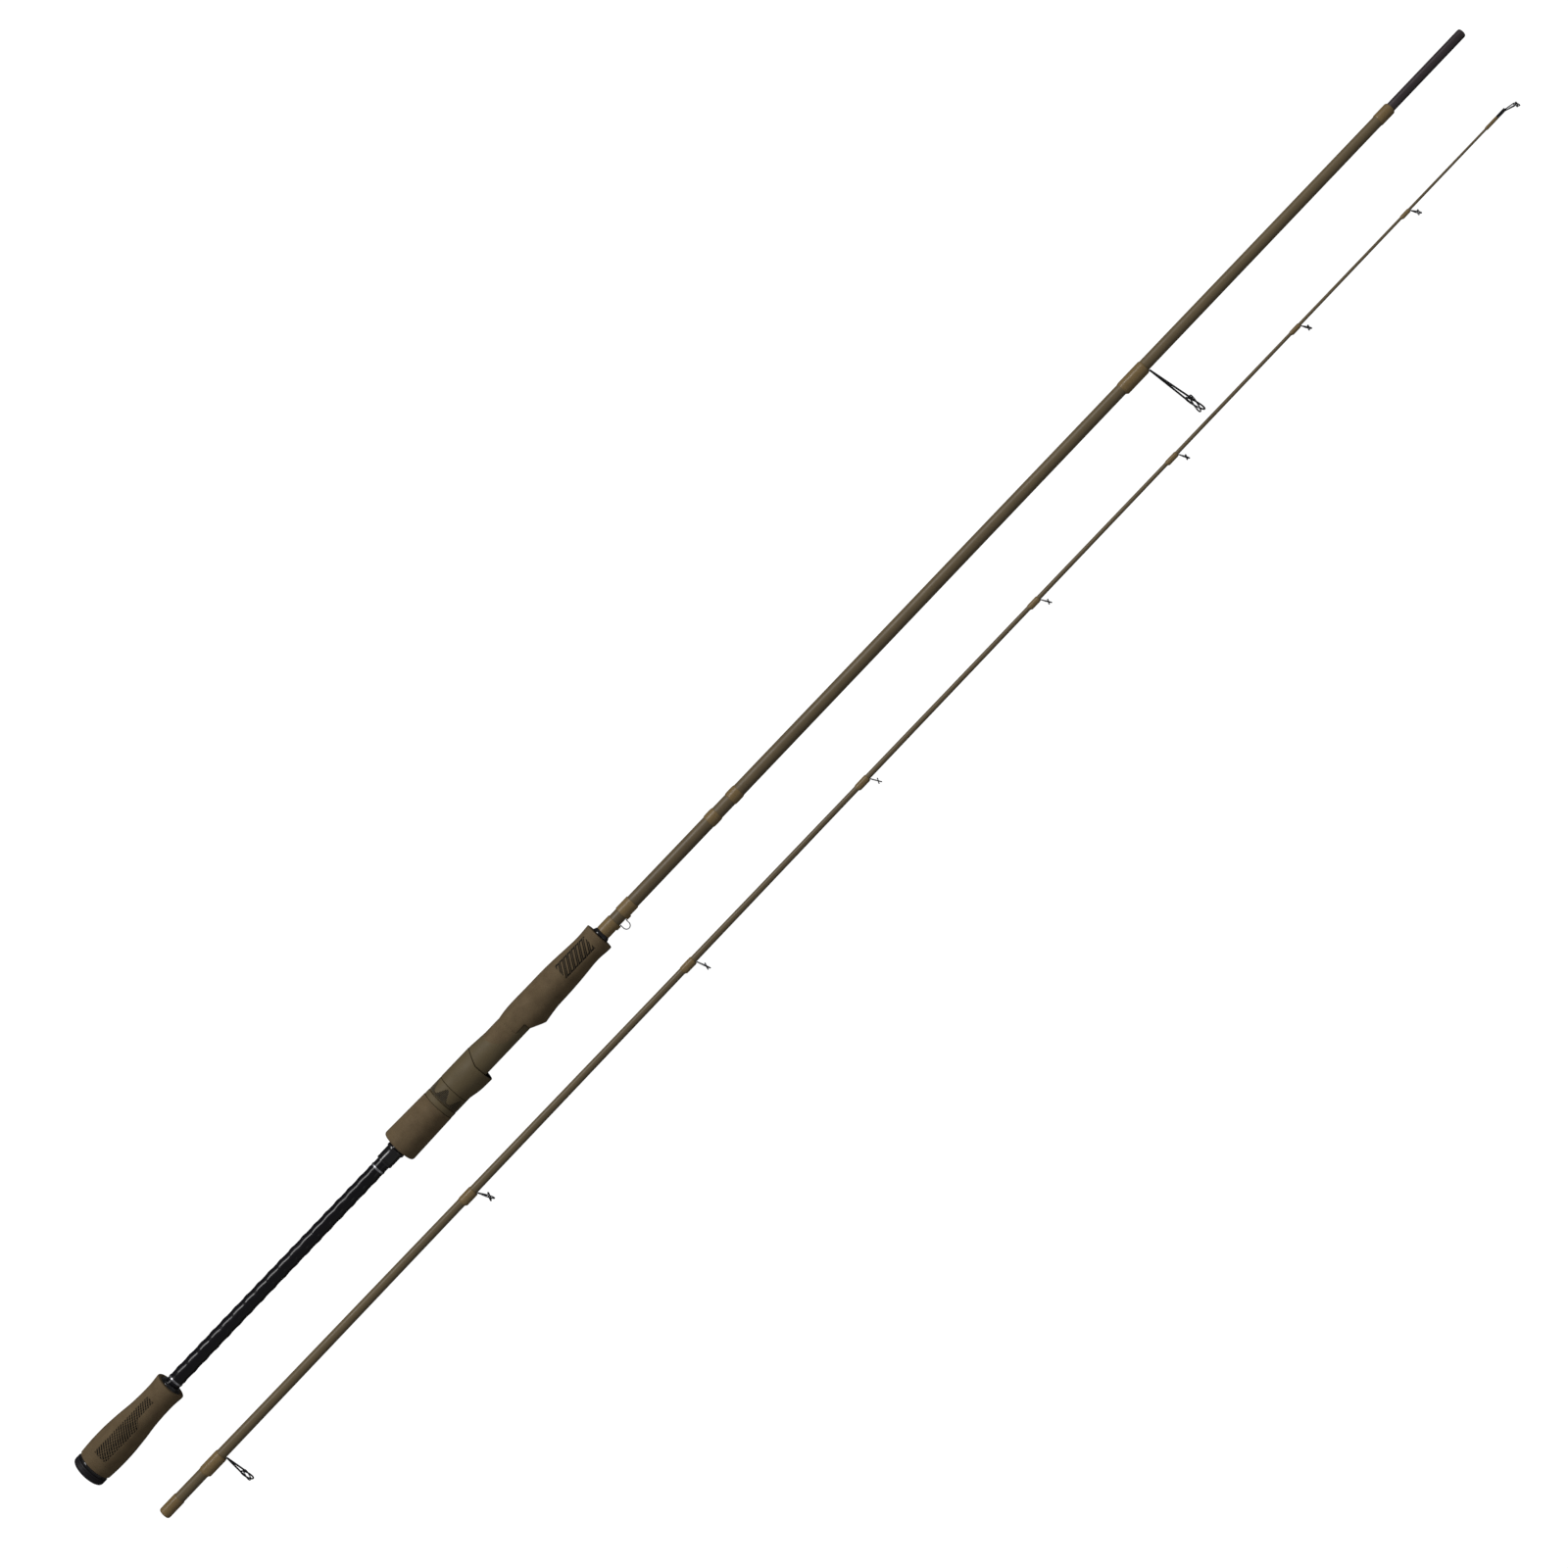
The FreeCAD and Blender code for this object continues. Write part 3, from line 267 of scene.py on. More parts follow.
# %% Group: handling
handling_group, h_in, h_out = group(
    "Handling",
    [("Roughness", "Float", 0.4), ("Spread", "Float", 0.1), ("Size", "Float", 90.0)],
    [("Roughness", "Float")])
handling_place = wire(handling_group, "ShaderNodeTexCoord").outputs["Object"]
handled = wire(handling_group, "ShaderNodeTexNoise", Vector=handling_place, Scale=h_in["Size"],
               Detail=4.0).outputs["Fac"]
lowest_rough = calc(handling_group, "SUBTRACT", h_in["Roughness"], h_in["Spread"])
highest_rough = calc(handling_group, "ADD", h_in["Roughness"], h_in["Spread"])
uneven_shine = wire(handling_group, "ShaderNodeMapRange", Value=handled, From_Min=0.3, From_Max=0.7,
                    To_Min=lowest_rough, To_Max=highest_rough).outputs[0]
handling_group.links.new(uneven_shine, h_out["Roughness"])

# %% [markdown]
# Each finish is one Principled shader fed by those groups. Values that are the same all over, such
# as the coat of resin on a wrap, are set on the shader itself.

# %% Finishes
finishes = {}
# The colour of the painted shade in engraved pits.
PIT_SHADE = "0c0a06"


def place_group(tree, which, **inputs):
    """One of the groups, placed in a material's tree."""
    return wire(tree, "ShaderNodeGroup", {"node_tree": which}, **inputs)


def finish(name, dark, light, rubbed, size, roughness, bump, wear=0.4, blotches=0.35, spread=0.08,
           winding=0.0, pitch=0.00026, gap="20180c", **plain):
    """A material of grain, edge wear, painted shade in hollows and pits, and handling, with thread over it
    if winding is above 0.
    """
    made = bpy.data.materials.new(name)
    made.use_nodes = True
    tree = made.node_tree
    shader = tree.nodes["Principled BSDF"]
    grained = place_group(tree, grain_group, Dark=paint(dark), Light=paint(light), Size=size,
                          Blotches=blotches)
    colour, height = grained.outputs["Colour"], grained.outputs["Height"]
    if winding:
        wound = place_group(tree, winding_group, Pitch=pitch)
        gaps = calc(tree, "MULTIPLY", wound.outputs["Gap"], winding)
        colour = mix_colours(tree, gaps, colour, paint(gap))
        height = calc(tree, "ADD", calc(tree, "MULTIPLY", height, 0.3), wound.outputs["Height"])
    # Painted shade in engraved pits, by the weight in the pits attribute.
    cut = wire(tree, "ShaderNodeAttribute", {"attribute_name": "pits"}).outputs["Fac"]
    colour = mix_colours(tree, cut, colour, paint(PIT_SHADE))
    worn_and_shaded = place_group(tree, wear_and_shade_group, Colour=colour, Rubbed=paint(rubbed), Amount=wear)
    rough = place_group(tree, handling_group, Roughness=roughness, Spread=spread).outputs["Roughness"]
    bumped = wire(tree, "ShaderNodeBump", Strength=1.0, Distance=bump * MM, Height=height)
    tree.links.new(worn_and_shaded.outputs["Colour"], shader.inputs["Base Color"])
    tree.links.new(rough, shader.inputs["Roughness"])
    tree.links.new(bumped.outputs["Normal"], shader.inputs["Normal"])
    for socket, value in plain.items():
        shader.inputs[socket.replace("_", " ")].default_value = value
    finishes[name] = made


finish("grip_foam", "50422f", "6e5e46", "7a6a50", 2600, 0.85, 0.1, wear=0.2, Specular_IOR_Level=0.2)
finish("seat_moulding", "544934", "62563e", "6e614a", 1500, 0.6, 0.012, wear=0.15, Specular_IOR_Level=0.22)
finish("olive_blank_paint", "524633", "64563f", "77694e", 1100, 0.42, 0.01, blotches=0.5,
       Specular_IOR_Level=0.26, Coat_Weight=0.04, Coat_Roughness=0.3)
finish("handle_graphite", "050408", "0e0c12", "1c1a20", 500, 0.2, 0.004, wear=0.1, Specular_IOR_Level=0.22,
       Coat_Weight=0.2, Coat_Roughness=0.06)
finish("brown_thread", "6e5a39", "85704c", "8f7c58", 1500, 0.36, 0.02, winding=0.4, wear=0.1,
       gap="3f3420", Specular_IOR_Level=0.26, Coat_Weight=0.12, Coat_Roughness=0.15)
finish("silver_thread", "77777c", "b8b8bd", "d8d8dc", 1500, 0.28, 0.02, winding=0.7, gap="101014", wear=0.2,
       Metallic=0.85, Coat_Weight=0.6, Coat_Roughness=0.08)
finish("cap_rubber", "0d0b0e", "19161b", "2a272c", 2200, 0.5, 0.03, wear=0.2, Specular_IOR_Level=0.25)
finish("gloss_lacquer", "060607", "0e0d10", "2c2a2e", 700, 0.16, 0.003, wear=0.2, spread=0.04,
       Specular_IOR_Level=0.35, Coat_Weight=0.5, Coat_Roughness=0.05)
finish("guide_black_plating", "08080a", "131316", "3d3d42", 1400, 0.22, 0.003, wear=0.35, spread=0.05,
       Metallic=0.6, Coat_Weight=0.5, Coat_Roughness=0.06)
finish("ring_ceramic", "16171a", "25262a", "5e6066", 900, 0.1, 0.002, wear=0.3, spread=0.03,
       Coat_Weight=0.8, Coat_Roughness=0.03)
finish("spigot_graphite", "2b2327", "3d3236", "5c4e53", 800, 0.42, 0.012, winding=0.25, pitch=0.0009,
       gap="1b1518", wear=0.5, Specular_IOR_Level=0.45)
finish("keeper_steel", "1b1b1d", "343437", "6a6a6e", 1200, 0.28, 0.004, Metallic=0.8)
finish("pocket_black", "060607", "0e0e10", "202024", 900, 0.3, 0.004)
finish("arbor_filler", "2a2a2c", "3b3b3e", "4b4b4e", 1800, 0.8, 0.06)
print("finishes:", len(finishes))

# %% [markdown]
# Most of a rod is turned on a lathe or wound round a tube, so most pieces start as a circle across
# the axis. Its edge is pulled along X and scaled, ring after ring, until the outline comes back to
# where it began or closes at a point. Doubles are merged before the normals are set outwards.

# %% Helper: rings along the axis
def merge_and_face_out(near=0.002 * MM):
    """Merges the doubles of the mesh in edit mode, faces it outwards and leaves edit mode."""
    bpy.ops.mesh.select_all(action="SELECT")
    bpy.ops.mesh.remove_doubles(threshold=near)
    bpy.ops.mesh.normals_make_consistent(inside=False)
    bpy.ops.object.mode_set(mode="OBJECT")


def pick(piece):
    """Only this piece is selected, and it is the active one."""
    clear()
    piece.select_set(True)
    bpy.context.view_layer.objects.active = piece


def shade(piece, angle):
    """Smooth, but for edges sharper than the angle in degrees."""
    pick(piece)
    bpy.ops.object.shade_smooth_by_angle(angle=math.radians(angle))


def apply_modifier(piece, kind, **settings):
    """Adds a modifier, sets it and applies it."""
    pick(piece)
    modifier = piece.modifiers.new(kind.lower(), kind)
    for key, value in settings.items():
        setattr(modifier, key, value)
    bpy.ops.object.modifier_apply(modifier=modifier.name)


def ringed(name, stations, axis=(0.0, 0.0), sides=64):
    """Rings pulled from one circle. A station is (x, radius) in mm, and may add its centre's shift
    in y."""
    clear()
    rings = [(s[0] * MM, max(s[1], 0.0005) * MM, (s[2] if len(s) > 2 else 0.0) * MM) for s in stations]
    y, z = axis[0] * MM, axis[1] * MM
    x, radius, shift = rings[0]
    bpy.ops.mesh.primitive_circle_add(vertices=sides, radius=radius, location=(x, y + shift, z),
                                      rotation=(0, math.pi / 2, 0))
    piece = bpy.context.object
    piece.name = name
    bpy.ops.object.transform_apply(location=True, rotation=True, scale=True)
    bpy.ops.object.mode_set(mode="EDIT")
    bpy.ops.mesh.select_all(action="SELECT")
    for before, after in zip(rings, rings[1:]):
        bpy.ops.mesh.extrude_edges_move(
            TRANSFORM_OT_translate={"value": (after[0] - before[0], after[2] - before[2], 0)})
        grow = after[1] / before[1]
        if abs(grow - 1) > 1e-9:
            bpy.ops.transform.resize(value=(1, grow, grow), center_override=(after[0], y + after[2], z))
    merge_and_face_out()
    return piece


def done(piece, body, finish_name, slot, *nodes):
    """Paints a piece, lets it ride on its body, and hides the CAD nodes it stands for."""
    piece.data.materials.clear()
    piece.data.materials.append(finishes[finish_name])
    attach(piece, body)
    if nodes:
        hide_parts(*nodes)
    print(f"{piece.name}: {len(piece.data.polygons)} faces, {finish_name}")


def closed(*outer, bore):
    """An outline that runs over the outer stations and back along a straight bore."""
    first, last = outer[0], outer[-1]
    return [(first[0], bore), *outer, (last[0], bore), (first[0], bore)]


# %% [markdown]
# The butt cap is a hard rubber button with a rounded rim and a shallow dished face, so that it does
# not mark a boat's deck. A glossy trim ring with a turned groove stands between it and the foam.

# %% Butt cap and trim ring
cap = ringed("butt_cap_button", [
    (0.5, 0), (0.45, 6.6), (0.1, 7.2), (0.0, 7.8), (0.0, 10.6), (0.15, 11.4), (0.6, 12.1), (1.3, 12.5),
    (2.2, 12.6), (3.7, 12.6), (3.9, 12.42), (4.2, 12.42), (4.4, 12.6), (5.2, 12.6), (5.45, 12.35),
    (5.5, 12.0), (5.5, 5.45), (3.0, 5.45), (3.0, 0)], sides=96)
shade(cap, 30)
done(cap, "butt_section", "cap_rubber", "black_rubber", "butt_cap")

trim = ringed("butt_trim_hoop", closed(
    (5.52, 11.5), (5.6, 11.9), (5.8, 12.08), (6.15, 12.1), (6.3, 11.8), (6.75, 11.8), (6.9, 12.1),
    (7.3, 12.08), (7.5, 11.9), (7.58, 11.5), bore=5.42), sides=96)
shade(trim, 30)
done(trim, "butt_section", "gloss_lacquer", "gloss_black", "butt_trim_ring")

# %% [markdown]
# The rear grip is EVA foam, ground on a lathe to a long swell and a waist. Its outline is a smooth
# curve through a few radii. The rings stand closer where the anti-slip panel is cut, and a
# subdivision surface rounds the rest.

# %% Helper: a smooth outline
def smooth_outline(points, places):
    """Radii at these places on a smooth curve through the points, each (place, radius)."""
    result = []
    for x in places:
        k = max(i for i in range(len(points) - 1) if points[i][0] <= x + 1e-9)
        (xa, ra), (xb, rb) = points[k], points[k + 1]
        before = points[k - 1] if k else (2 * xa - xb, 2 * ra - rb)
        after = points[k + 2] if k + 2 < len(points) else (2 * xb - xa, 2 * rb - ra)
        t = (x - xa) / (xb - xa)
        slope_a = (rb - before[1]) / (xb - before[0]) * (xb - xa)
        slope_b = (after[1] - ra) / (after[0] - xa) * (xb - xa)
        result.append((x, (2 * t ** 3 - 3 * t ** 2 + 1) * ra + (t ** 3 - 2 * t ** 2 + t) * slope_a
                       + (3 * t ** 2 - 2 * t ** 3) * rb + (t ** 3 - t ** 2) * slope_b))
    return result


def steps(start, end, size):
    """Evenly spaced values from start to end, about size apart."""
    count = max(1, round((end - start) / size))
    return [start + (end - start) * i / count for i in range(count + 1)]


# %% [markdown]
# The panel is a lattice of short slanted pits. Each point of the surface that lies in a pit gets a
# weight in a vertex group, and a Displace modifier pushes those points in along their normals. The
# weight is also kept as an attribute called pits, which the finishes read to paint shade into what is
# sunk. The same helper raises ribs when its depth is negative.

# %% Helper: engraving
PIT_SHADE_SPREAD = 1.7  # how much further the painted shade reaches up a pit's side than the pit's own weight


def engrave(piece, depth, mask):
    """Sinks the surface by depth mm where mask(x, y, z), with its place in mm, is 1."""
    weights = piece.vertex_groups.new(name="sunk")
    amounts = [min(mask(*(vertex.co / MM)), 1.0) for vertex in piece.data.vertices]
    for index, amount in enumerate(amounts):
        if amount > 0.01:
            weights.add([index], amount, "REPLACE")
    # Painted shade: the finishes darken each point by this weight.
    if depth > 0:
        kept = piece.data.attributes.new("pits", "FLOAT", "POINT")
        kept.data.foreach_set("value", [min(PIT_SHADE_SPREAD * amount, 1.0) for amount in amounts])
    apply_modifier(piece, "DISPLACE", strength=-depth * MM, mid_level=0.0, direction="NORMAL",
                   vertex_group="sunk")
    piece.vertex_groups.remove(piece.vertex_groups["sunk"])
    print(f"{piece.name}: {sum(amount > 0.01 for amount in amounts)} points engraved")


def soft(value, edge=0.12):
    """0 below -edge, 1 above edge, and smooth between."""
    t = min(max((value + edge) / (2 * edge), 0), 1)
    return t * t * (3 - 2 * t)


def slanted_pits(x, y, top, pitch=2.05, row=1.3, slant=0.7):
    """A lattice of short slanted pits, with every other column shifted by half a row."""
    across = (x - slant * y) / pitch
    down = (top - y) / row + 0.5 * (math.floor(across) % 2)
    return soft(0.27 - abs(across % 1 - 0.5), 0.06) * soft(0.4 - abs(down % 1 - 0.5), 0.07)


# %% [markdown]
# The rear grip is turned first: a closed outline over the swell and the waist, round the rim of the
# recess at its front, and back along the bore. Then its panel is cut into the side that faces up.

# %% Rear grip
REAR_PANEL_REAR, REAR_PANEL_FRONT, REAR_PANEL_TOP = 17.2, 67.4, 6.3
GRIP_REAR, GRIP_FRONT = (v.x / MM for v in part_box("rear_grip"))
grip_length = GRIP_FRONT - GRIP_REAR
grip_radii = [(GRIP_REAR + grip_length * t, r) for t, r in (
    (0, 12.9), (0.14, 13.5), (0.3, 13.45), (0.47, 12.53), (0.65, 11.05), (0.86, 10.6), (1, 11.4))]
swell = smooth_outline(grip_radii, steps(GRIP_REAR + 0.9, 12.5, 1.2) + steps(13.3, 65.0, 0.95)
                       + steps(66.5, GRIP_FRONT - 0.8, 1.6))
rear_grip = ringed("rear_grip_foam", [
    (GRIP_REAR, 5.45), (GRIP_REAR, 11.6), (GRIP_REAR, 12.3), (GRIP_REAR + 0.12, 12.62),
    (GRIP_REAR + 0.4, 12.9), *swell,
    (GRIP_FRONT - 0.3, 11.28), (GRIP_FRONT - 0.05, 11.0), (GRIP_FRONT, 10.6), (GRIP_FRONT, 8.6),
    (GRIP_FRONT - 0.12, 8.3), (GRIP_FRONT - 0.4, 8.25), (GRIP_FRONT - 2.9, 8.25), (GRIP_FRONT - 3.0, 8.1),
    (GRIP_FRONT - 3.0, 5.5), (GRIP_FRONT - 3.3, 5.45), (GRIP_REAR, 5.45)], sides=60)
apply_modifier(rear_grip, "SUBSURF", levels=2, render_levels=2)


def rear_panel(x, y, z):
    """The pits' area: its lower edge steps up toward the waist."""
    if z < 5 or not REAR_PANEL_REAR < x < REAR_PANEL_FRONT:
        return 0.0
    bottom = -4.4 + 4.7 * soft((x - 50.5) / 5, 0.5)
    return slanted_pits(x, y, REAR_PANEL_TOP) * soft(REAR_PANEL_TOP - y, 0.1) * soft(y - bottom, 0.1)


engrave(rear_grip, 0.42, rear_panel)
shade(rear_grip, 60)
done(rear_grip, "butt_section", "grip_foam", "olive_foam", "rear_grip")

# %% [markdown]
# A short lacquered cone, the winding check, closes the grip's recess against the blank.

# %% Rear winding check
check = ringed("rear_check_cone", closed(
    (77.95, 7.9), (78.1, 8.12), (80.5, 8.12), (80.8, 7.95), (81.1, 7.6), (81.25, 7.55), (81.35, 7.3),
    (82.3, 6.6), (82.55, 6.5), (82.68, 6.2), bore=5.36), sides=96)
shade(check, 30)
done(check, "butt_section", "gloss_lacquer", "gloss_black", "rear_grip_check")

# %% [markdown]
# The blanks are tapered graphite tubes. A cone is added, cut across where its finish changes, and
# its ends are turned in and joined by a bridge, so that it is a real tube with a wall. Under the
# handle, tape wound both ways under the lacquer leaves a low crossing rib that catches the light.

# %% Butt blank
BLANK_REAR, BLANK_FRONT = (v.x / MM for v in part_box("butt_blank"))
REAR_RADIUS, FRONT_RADIUS = 5.35, 4.0
REAR_BORE, FRONT_BORE = 4.25, 3.35
TAPE_REAR, TAPE_FRONT, TAPE_PITCH, TAPE_HEIGHT, TAPE_CUTS = 87.2, 281.0, 11, 0.34, 330
HANDLE_FRONT = 499.0


def blank_radius(x):
    return REAR_RADIUS + (FRONT_RADIUS - REAR_RADIUS) * (x - BLANK_REAR) / (BLANK_FRONT - BLANK_REAR)


def select_where(piece, test):
    """Selects, in edit mode, the edges whose two ends both pass the test on their place in mm."""
    bpy.ops.mesh.select_all(action="DESELECT")
    bpy.ops.object.mode_set(mode="OBJECT")
    points = piece.data.vertices
    for edge in piece.data.edges:
        a, b = (points[i].co / MM for i in edge.vertices)
        edge.select = test(a, b)
    bpy.ops.object.mode_set(mode="EDIT")


clear()
bpy.ops.mesh.primitive_cone_add(vertices=64, radius1=REAR_RADIUS * MM, radius2=FRONT_RADIUS * MM,
                                depth=(BLANK_FRONT - BLANK_REAR) * MM, end_fill_type="NOTHING",
                                location=((BLANK_REAR + BLANK_FRONT) / 2 * MM, 0, 0),
                                rotation=(0, math.pi / 2, 0))
butt_blank = bpy.context.object
butt_blank.name = "butt_blank_tube"
bpy.ops.object.transform_apply(location=True, rotation=True, scale=True)
bpy.ops.object.mode_set(mode="EDIT")
bpy.ops.mesh.select_mode(type="EDGE")
for place in (TAPE_REAR, TAPE_FRONT, HANDLE_FRONT):
    bpy.ops.mesh.select_all(action="SELECT")
    bpy.ops.mesh.bisect(plane_co=(place * MM, 0, 0), plane_no=(1, 0, 0))
for end, bore in ((BLANK_REAR, REAR_BORE), (BLANK_FRONT, FRONT_BORE)):
    select_where(butt_blank, lambda a, b: abs(a.x - end) < 0.01 and abs(b.x - end) < 0.01)
    bpy.ops.mesh.extrude_edges_move(TRANSFORM_OT_translate={"value": (0, 0, 0)})
    thin = bore / blank_radius(end)
    bpy.ops.transform.resize(value=(1, thin, thin), center_override=(end * MM, 0, 0))
select_where(butt_blank, lambda a, b: all(
    min(abs(p.x - BLANK_REAR), abs(p.x - BLANK_FRONT)) < 0.01
    and math.hypot(p.y, p.z) < blank_radius(p.x) - 0.4 for p in (a, b)))
bpy.ops.mesh.bridge_edge_loops()
select_where(butt_blank, lambda a, b: abs(a.x - b.x) > 100 and TAPE_REAR - 1 < min(a.x, b.x)
             and max(a.x, b.x) < TAPE_FRONT + 1 and math.hypot(a.y, a.z) > 4.5)
bpy.ops.mesh.subdivide(number_cuts=TAPE_CUTS)
merge_and_face_out()


def crossed_tape(x, y, z):
    """Two broad spirals of tape, one each way, which stop short of the taped length's ends."""
    if not TAPE_REAR + 0.5 < x < TAPE_FRONT - 0.5 or math.hypot(y, z) < 4.6:
        return 0.0
    turn = math.atan2(z, y) / TAU
    return max(soft(0.17 - abs((x / TAPE_PITCH + way * turn) % 1 - 0.5), 0.12) for way in (-1, 1))


engrave(butt_blank, -TAPE_HEIGHT, crossed_tape)
shade(butt_blank, 30)
done(butt_blank, "butt_section", "olive_blank_paint", "olive_blank", "butt_blank")
butt_blank.data.materials.append(finishes["handle_graphite"])
for face in butt_blank.data.polygons:
    face.material_index = 1 if face.center.x < HANDLE_FRONT * MM else 0

# %% [markdown]
# Wound and turned trim is simple: a sleeve whose back is flat, domed or stepped. Its length and its
# size are read from the frame's box for the node that it stands for, so that it always fits.

# %% Helper: a sleeve over a blank
def box_mm(node):
    low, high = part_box(node)
    return low / MM, high / MM


def sleeve(name, node, inner, crown, sides=72):
    """A sleeve as long and as thick as its node. crown pairs a place with a height, both 0 to 1."""
    low, high = box_mm(node)
    length = high.x - low.x
    middle, top = ((low.y + high.y) / 2, (low.z + high.z) / 2), (high.z - low.z) / 2
    outer = [(low.x + length * t, inner + (top - inner) * h) for t, h in crown]
    return ringed(name, closed(*outer, bore=inner - 0.02), middle, sides)


DOMED = [(0, 0.1), (0.02, 0.4), (0.07, 0.68), (0.16, 0.86), (0.3, 0.97), (0.5, 1), (0.7, 0.97), (0.84, 0.86),
         (0.93, 0.68), (0.98, 0.4), (1, 0.1)]
FLAT = [(0, 0.2), (0.01, 0.6), (0.035, 0.88), (0.08, 1), (0.5, 1), (0.92, 1), (0.965, 0.88), (0.99, 0.6),
        (1, 0.2)]

# %% [markdown]
# Two narrow bands of thread finish the ends of the taped handle, and a lacquered collar with a raised
# flange stands behind the reel seat.

# %% Handle trim
for node in ("handle_ring_rear", "handle_ring_front"):
    low, high = box_mm(node)
    band = sleeve(node + "_band", node, blank_radius((low.x + high.x) / 2), DOMED)
    shade(band, 40)
    done(band, "butt_section", "silver_thread", "gloss_black", node)

low, high = box_mm("seat_rear_collar")
flange, under = high.x - 1.8, blank_radius(low.x)
collar = ringed("seat_collar_flange", closed(
    (low.x, 5.75), (low.x + 0.15, 5.95), (low.x + 0.5, 6.0), (low.x + 1.6, 6.0), (low.x + 1.8, 5.8),
    (low.x + 2.4, 5.8), (low.x + 2.6, 6.0), (flange - 0.5, 6.0), (flange - 0.15, 6.1), (flange, 6.4),
    (flange + 0.1, 6.7), (flange + 0.4, 6.8), (high.x - 0.4, 6.8), (high.x - 0.1, 6.7), (high.x, 6.4),
    bore=under - 0.02), sides=96)
shade(collar, 30)
done(collar, "butt_section", "gloss_lacquer", "gloss_black", "seat_rear_collar")

# %% [markdown]
# Some pieces are too free in form for a lathe. A copy of the frame's own mesh is merged, remeshed in
# small cubes and smoothed, which gives a moulding its soft edges and an even surface to engrave.

# %% Helper: a soft copy of a CAD node
def soft_copy(node, name, voxel, rounds=4):
    """A copy of the node's mesh, remeshed in cubes of voxel mm and smoothed."""
    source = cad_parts[node]
    piece = source.copy()
    piece.data = source.data.copy()
    piece.name = name
    piece.parent = None
    piece.matrix_world.identity()
    bpy.context.scene.collection.objects.link(piece)
    pick(piece)
    bpy.ops.object.mode_set(mode="EDIT")
    merge_and_face_out(0.001 * MM)
    apply_modifier(piece, "REMESH", mode="VOXEL", voxel_size=voxel * MM)
    apply_modifier(piece, "SMOOTH", factor=0.5, iterations=rounds)
    return piece


# %% [markdown]
# The reel seat is a moulded tube. Its rear is a threaded barrel for the nut, its front a smooth saddle
# with a flat for the reel's foot. The thread, 1.5 mm to the turn, is cut only where the barrel is round.

# %% Reel seat
THREAD_PITCH, THREAD_DEPTH, THREAD_FRONT = 1.5, 0.35, 376
FOAM_REAR, FOAM_SWEEP = 395.5, 7  # where the foregrip's foam begins on the saddle, and its curve
seat = soft_copy("reel_seat_body", "reel_seat_moulding", 0.36)
seat_rear = box_mm("reel_seat_body")[0].x


def barrel_thread(x, y, z):
    radius = math.hypot(y, z)
    if not seat_rear + 3 < x < THREAD_FRONT or not 9.5 < radius < 10.3:
        return 0.0
    return soft(0.22 - abs((x / THREAD_PITCH - math.atan2(z, y) / TAU) % 1 - 0.5), 0.15)


engrave(seat, THREAD_DEPTH, barrel_thread)
shade(seat, 60)
done(seat, "butt_section", "seat_moulding", "olive_moulding", "reel_seat_body")
seat.data.materials.append(finishes["grip_foam"])
for face in seat.data.polygons:
    x, y, z = face.center / MM
    foam_from = FOAM_REAR + FOAM_SWEEP * (max(8 - y, 0) / 11) ** 2
    if x > foam_from and y > -4.2 and math.hypot(y, z) > 9.9:
        face.material_index = 1

# %% [markdown]
# The locking nut is a moulded core in a foam sleeve, with a trim band at its front. The sleeve flares
# to the rear, where a fingertip pushes it, and its rim is well rounded.

# %% Locking nut's sleeve and band
low, high = box_mm("nut_sleeve")
LINING = 11.22  # inner radius of the sleeve and of the band
rear_top, front_top = 13.1, 12.3
flare = [(x, rear_top + (front_top - rear_top) * (x - low.x) / (high.x - low.x))
         for x in steps(low.x + 2.0, high.x - 1.0, 1.5)]
nut_sleeve = ringed("nut_sleeve_foam", [
    (low.x, LINING), (low.x, 11.5), (low.x + 0.1, 12.0), (low.x + 0.4, 12.5), (low.x + 0.9, 12.85),
    (low.x + 1.4, 13.0), *flare, (high.x - 0.45, front_top), (high.x - 0.25, front_top - 0.12),
    (high.x - 0.2, front_top - 0.4), (high.x - 0.2, LINING), (low.x, LINING)], sides=96)
shade(nut_sleeve, 40)
done(nut_sleeve, "nut", "grip_foam", "olive_foam", "nut_sleeve")

low, high = box_mm("nut_trim_band")
nut_band = ringed("nut_band_moulding", closed(
    (low.x + 0.2, 11.8), (low.x + 0.25, 12.05), (low.x + 0.45, 12.15), (high.x - 0.55, 12.15),
    (high.x - 0.35, 12.05), (high.x - 0.3, 11.8), bore=LINING), sides=96)
shade(nut_band, 30)
done(nut_band, "nut", "seat_moulding", "olive_moulding", "nut_trim_band")

# %% [markdown]
# In front of the nut is the hood's ring. Short flutes run round it, and their length rises and falls
# like a line of hills. It is modelled as closely spaced rings so that the flutes have points to move.

# %% Hood ring
FLUTES, HILLS = 75, 6
low, high = box_mm("hood_ring")
hood_ring = ringed("hood_ring_fluted", closed(
    (low.x + 0.1, 11.6), (low.x + 0.15, 11.85), (low.x + 0.35, 12.0),
    *[(x, 12.0) for x in steps(low.x + 0.5, high.x - 0.8, 0.25)],
    (high.x - 0.5, 12.0), (high.x - 0.35, 11.85), (high.x - 0.3, 11.5), bore=10.1), sides=384)


def flutes(x, y, z):
    """Flutes round the ring, each as long as the hill is high there."""
    if math.hypot(y, z) < 11.9:
        return 0.0
    turn = math.atan2(z, y) / TAU
    reach = 1.2 + 7.4 * (0.5 + 0.5 * math.cos(TAU * (HILLS * turn - 0.34))) ** 1.3
    groove = soft(0.27 - abs((turn * FLUTES) % 1 - 0.5), 0.12)
    return groove * soft(x - low.x - 0.5, 0.2) * soft(low.x + 0.5 + reach - x, 0.4)


engrave(hood_ring, 0.32, flutes)
shade(hood_ring, 50)
done(hood_ring, "hood", "seat_moulding", "olive_moulding", "hood_ring")

hood = soft_copy("sliding_hood", "sliding_hood_moulding", 0.26)
shade(hood, 60)
done(hood, "hood", "seat_moulding", "olive_moulding", "sliding_hood")

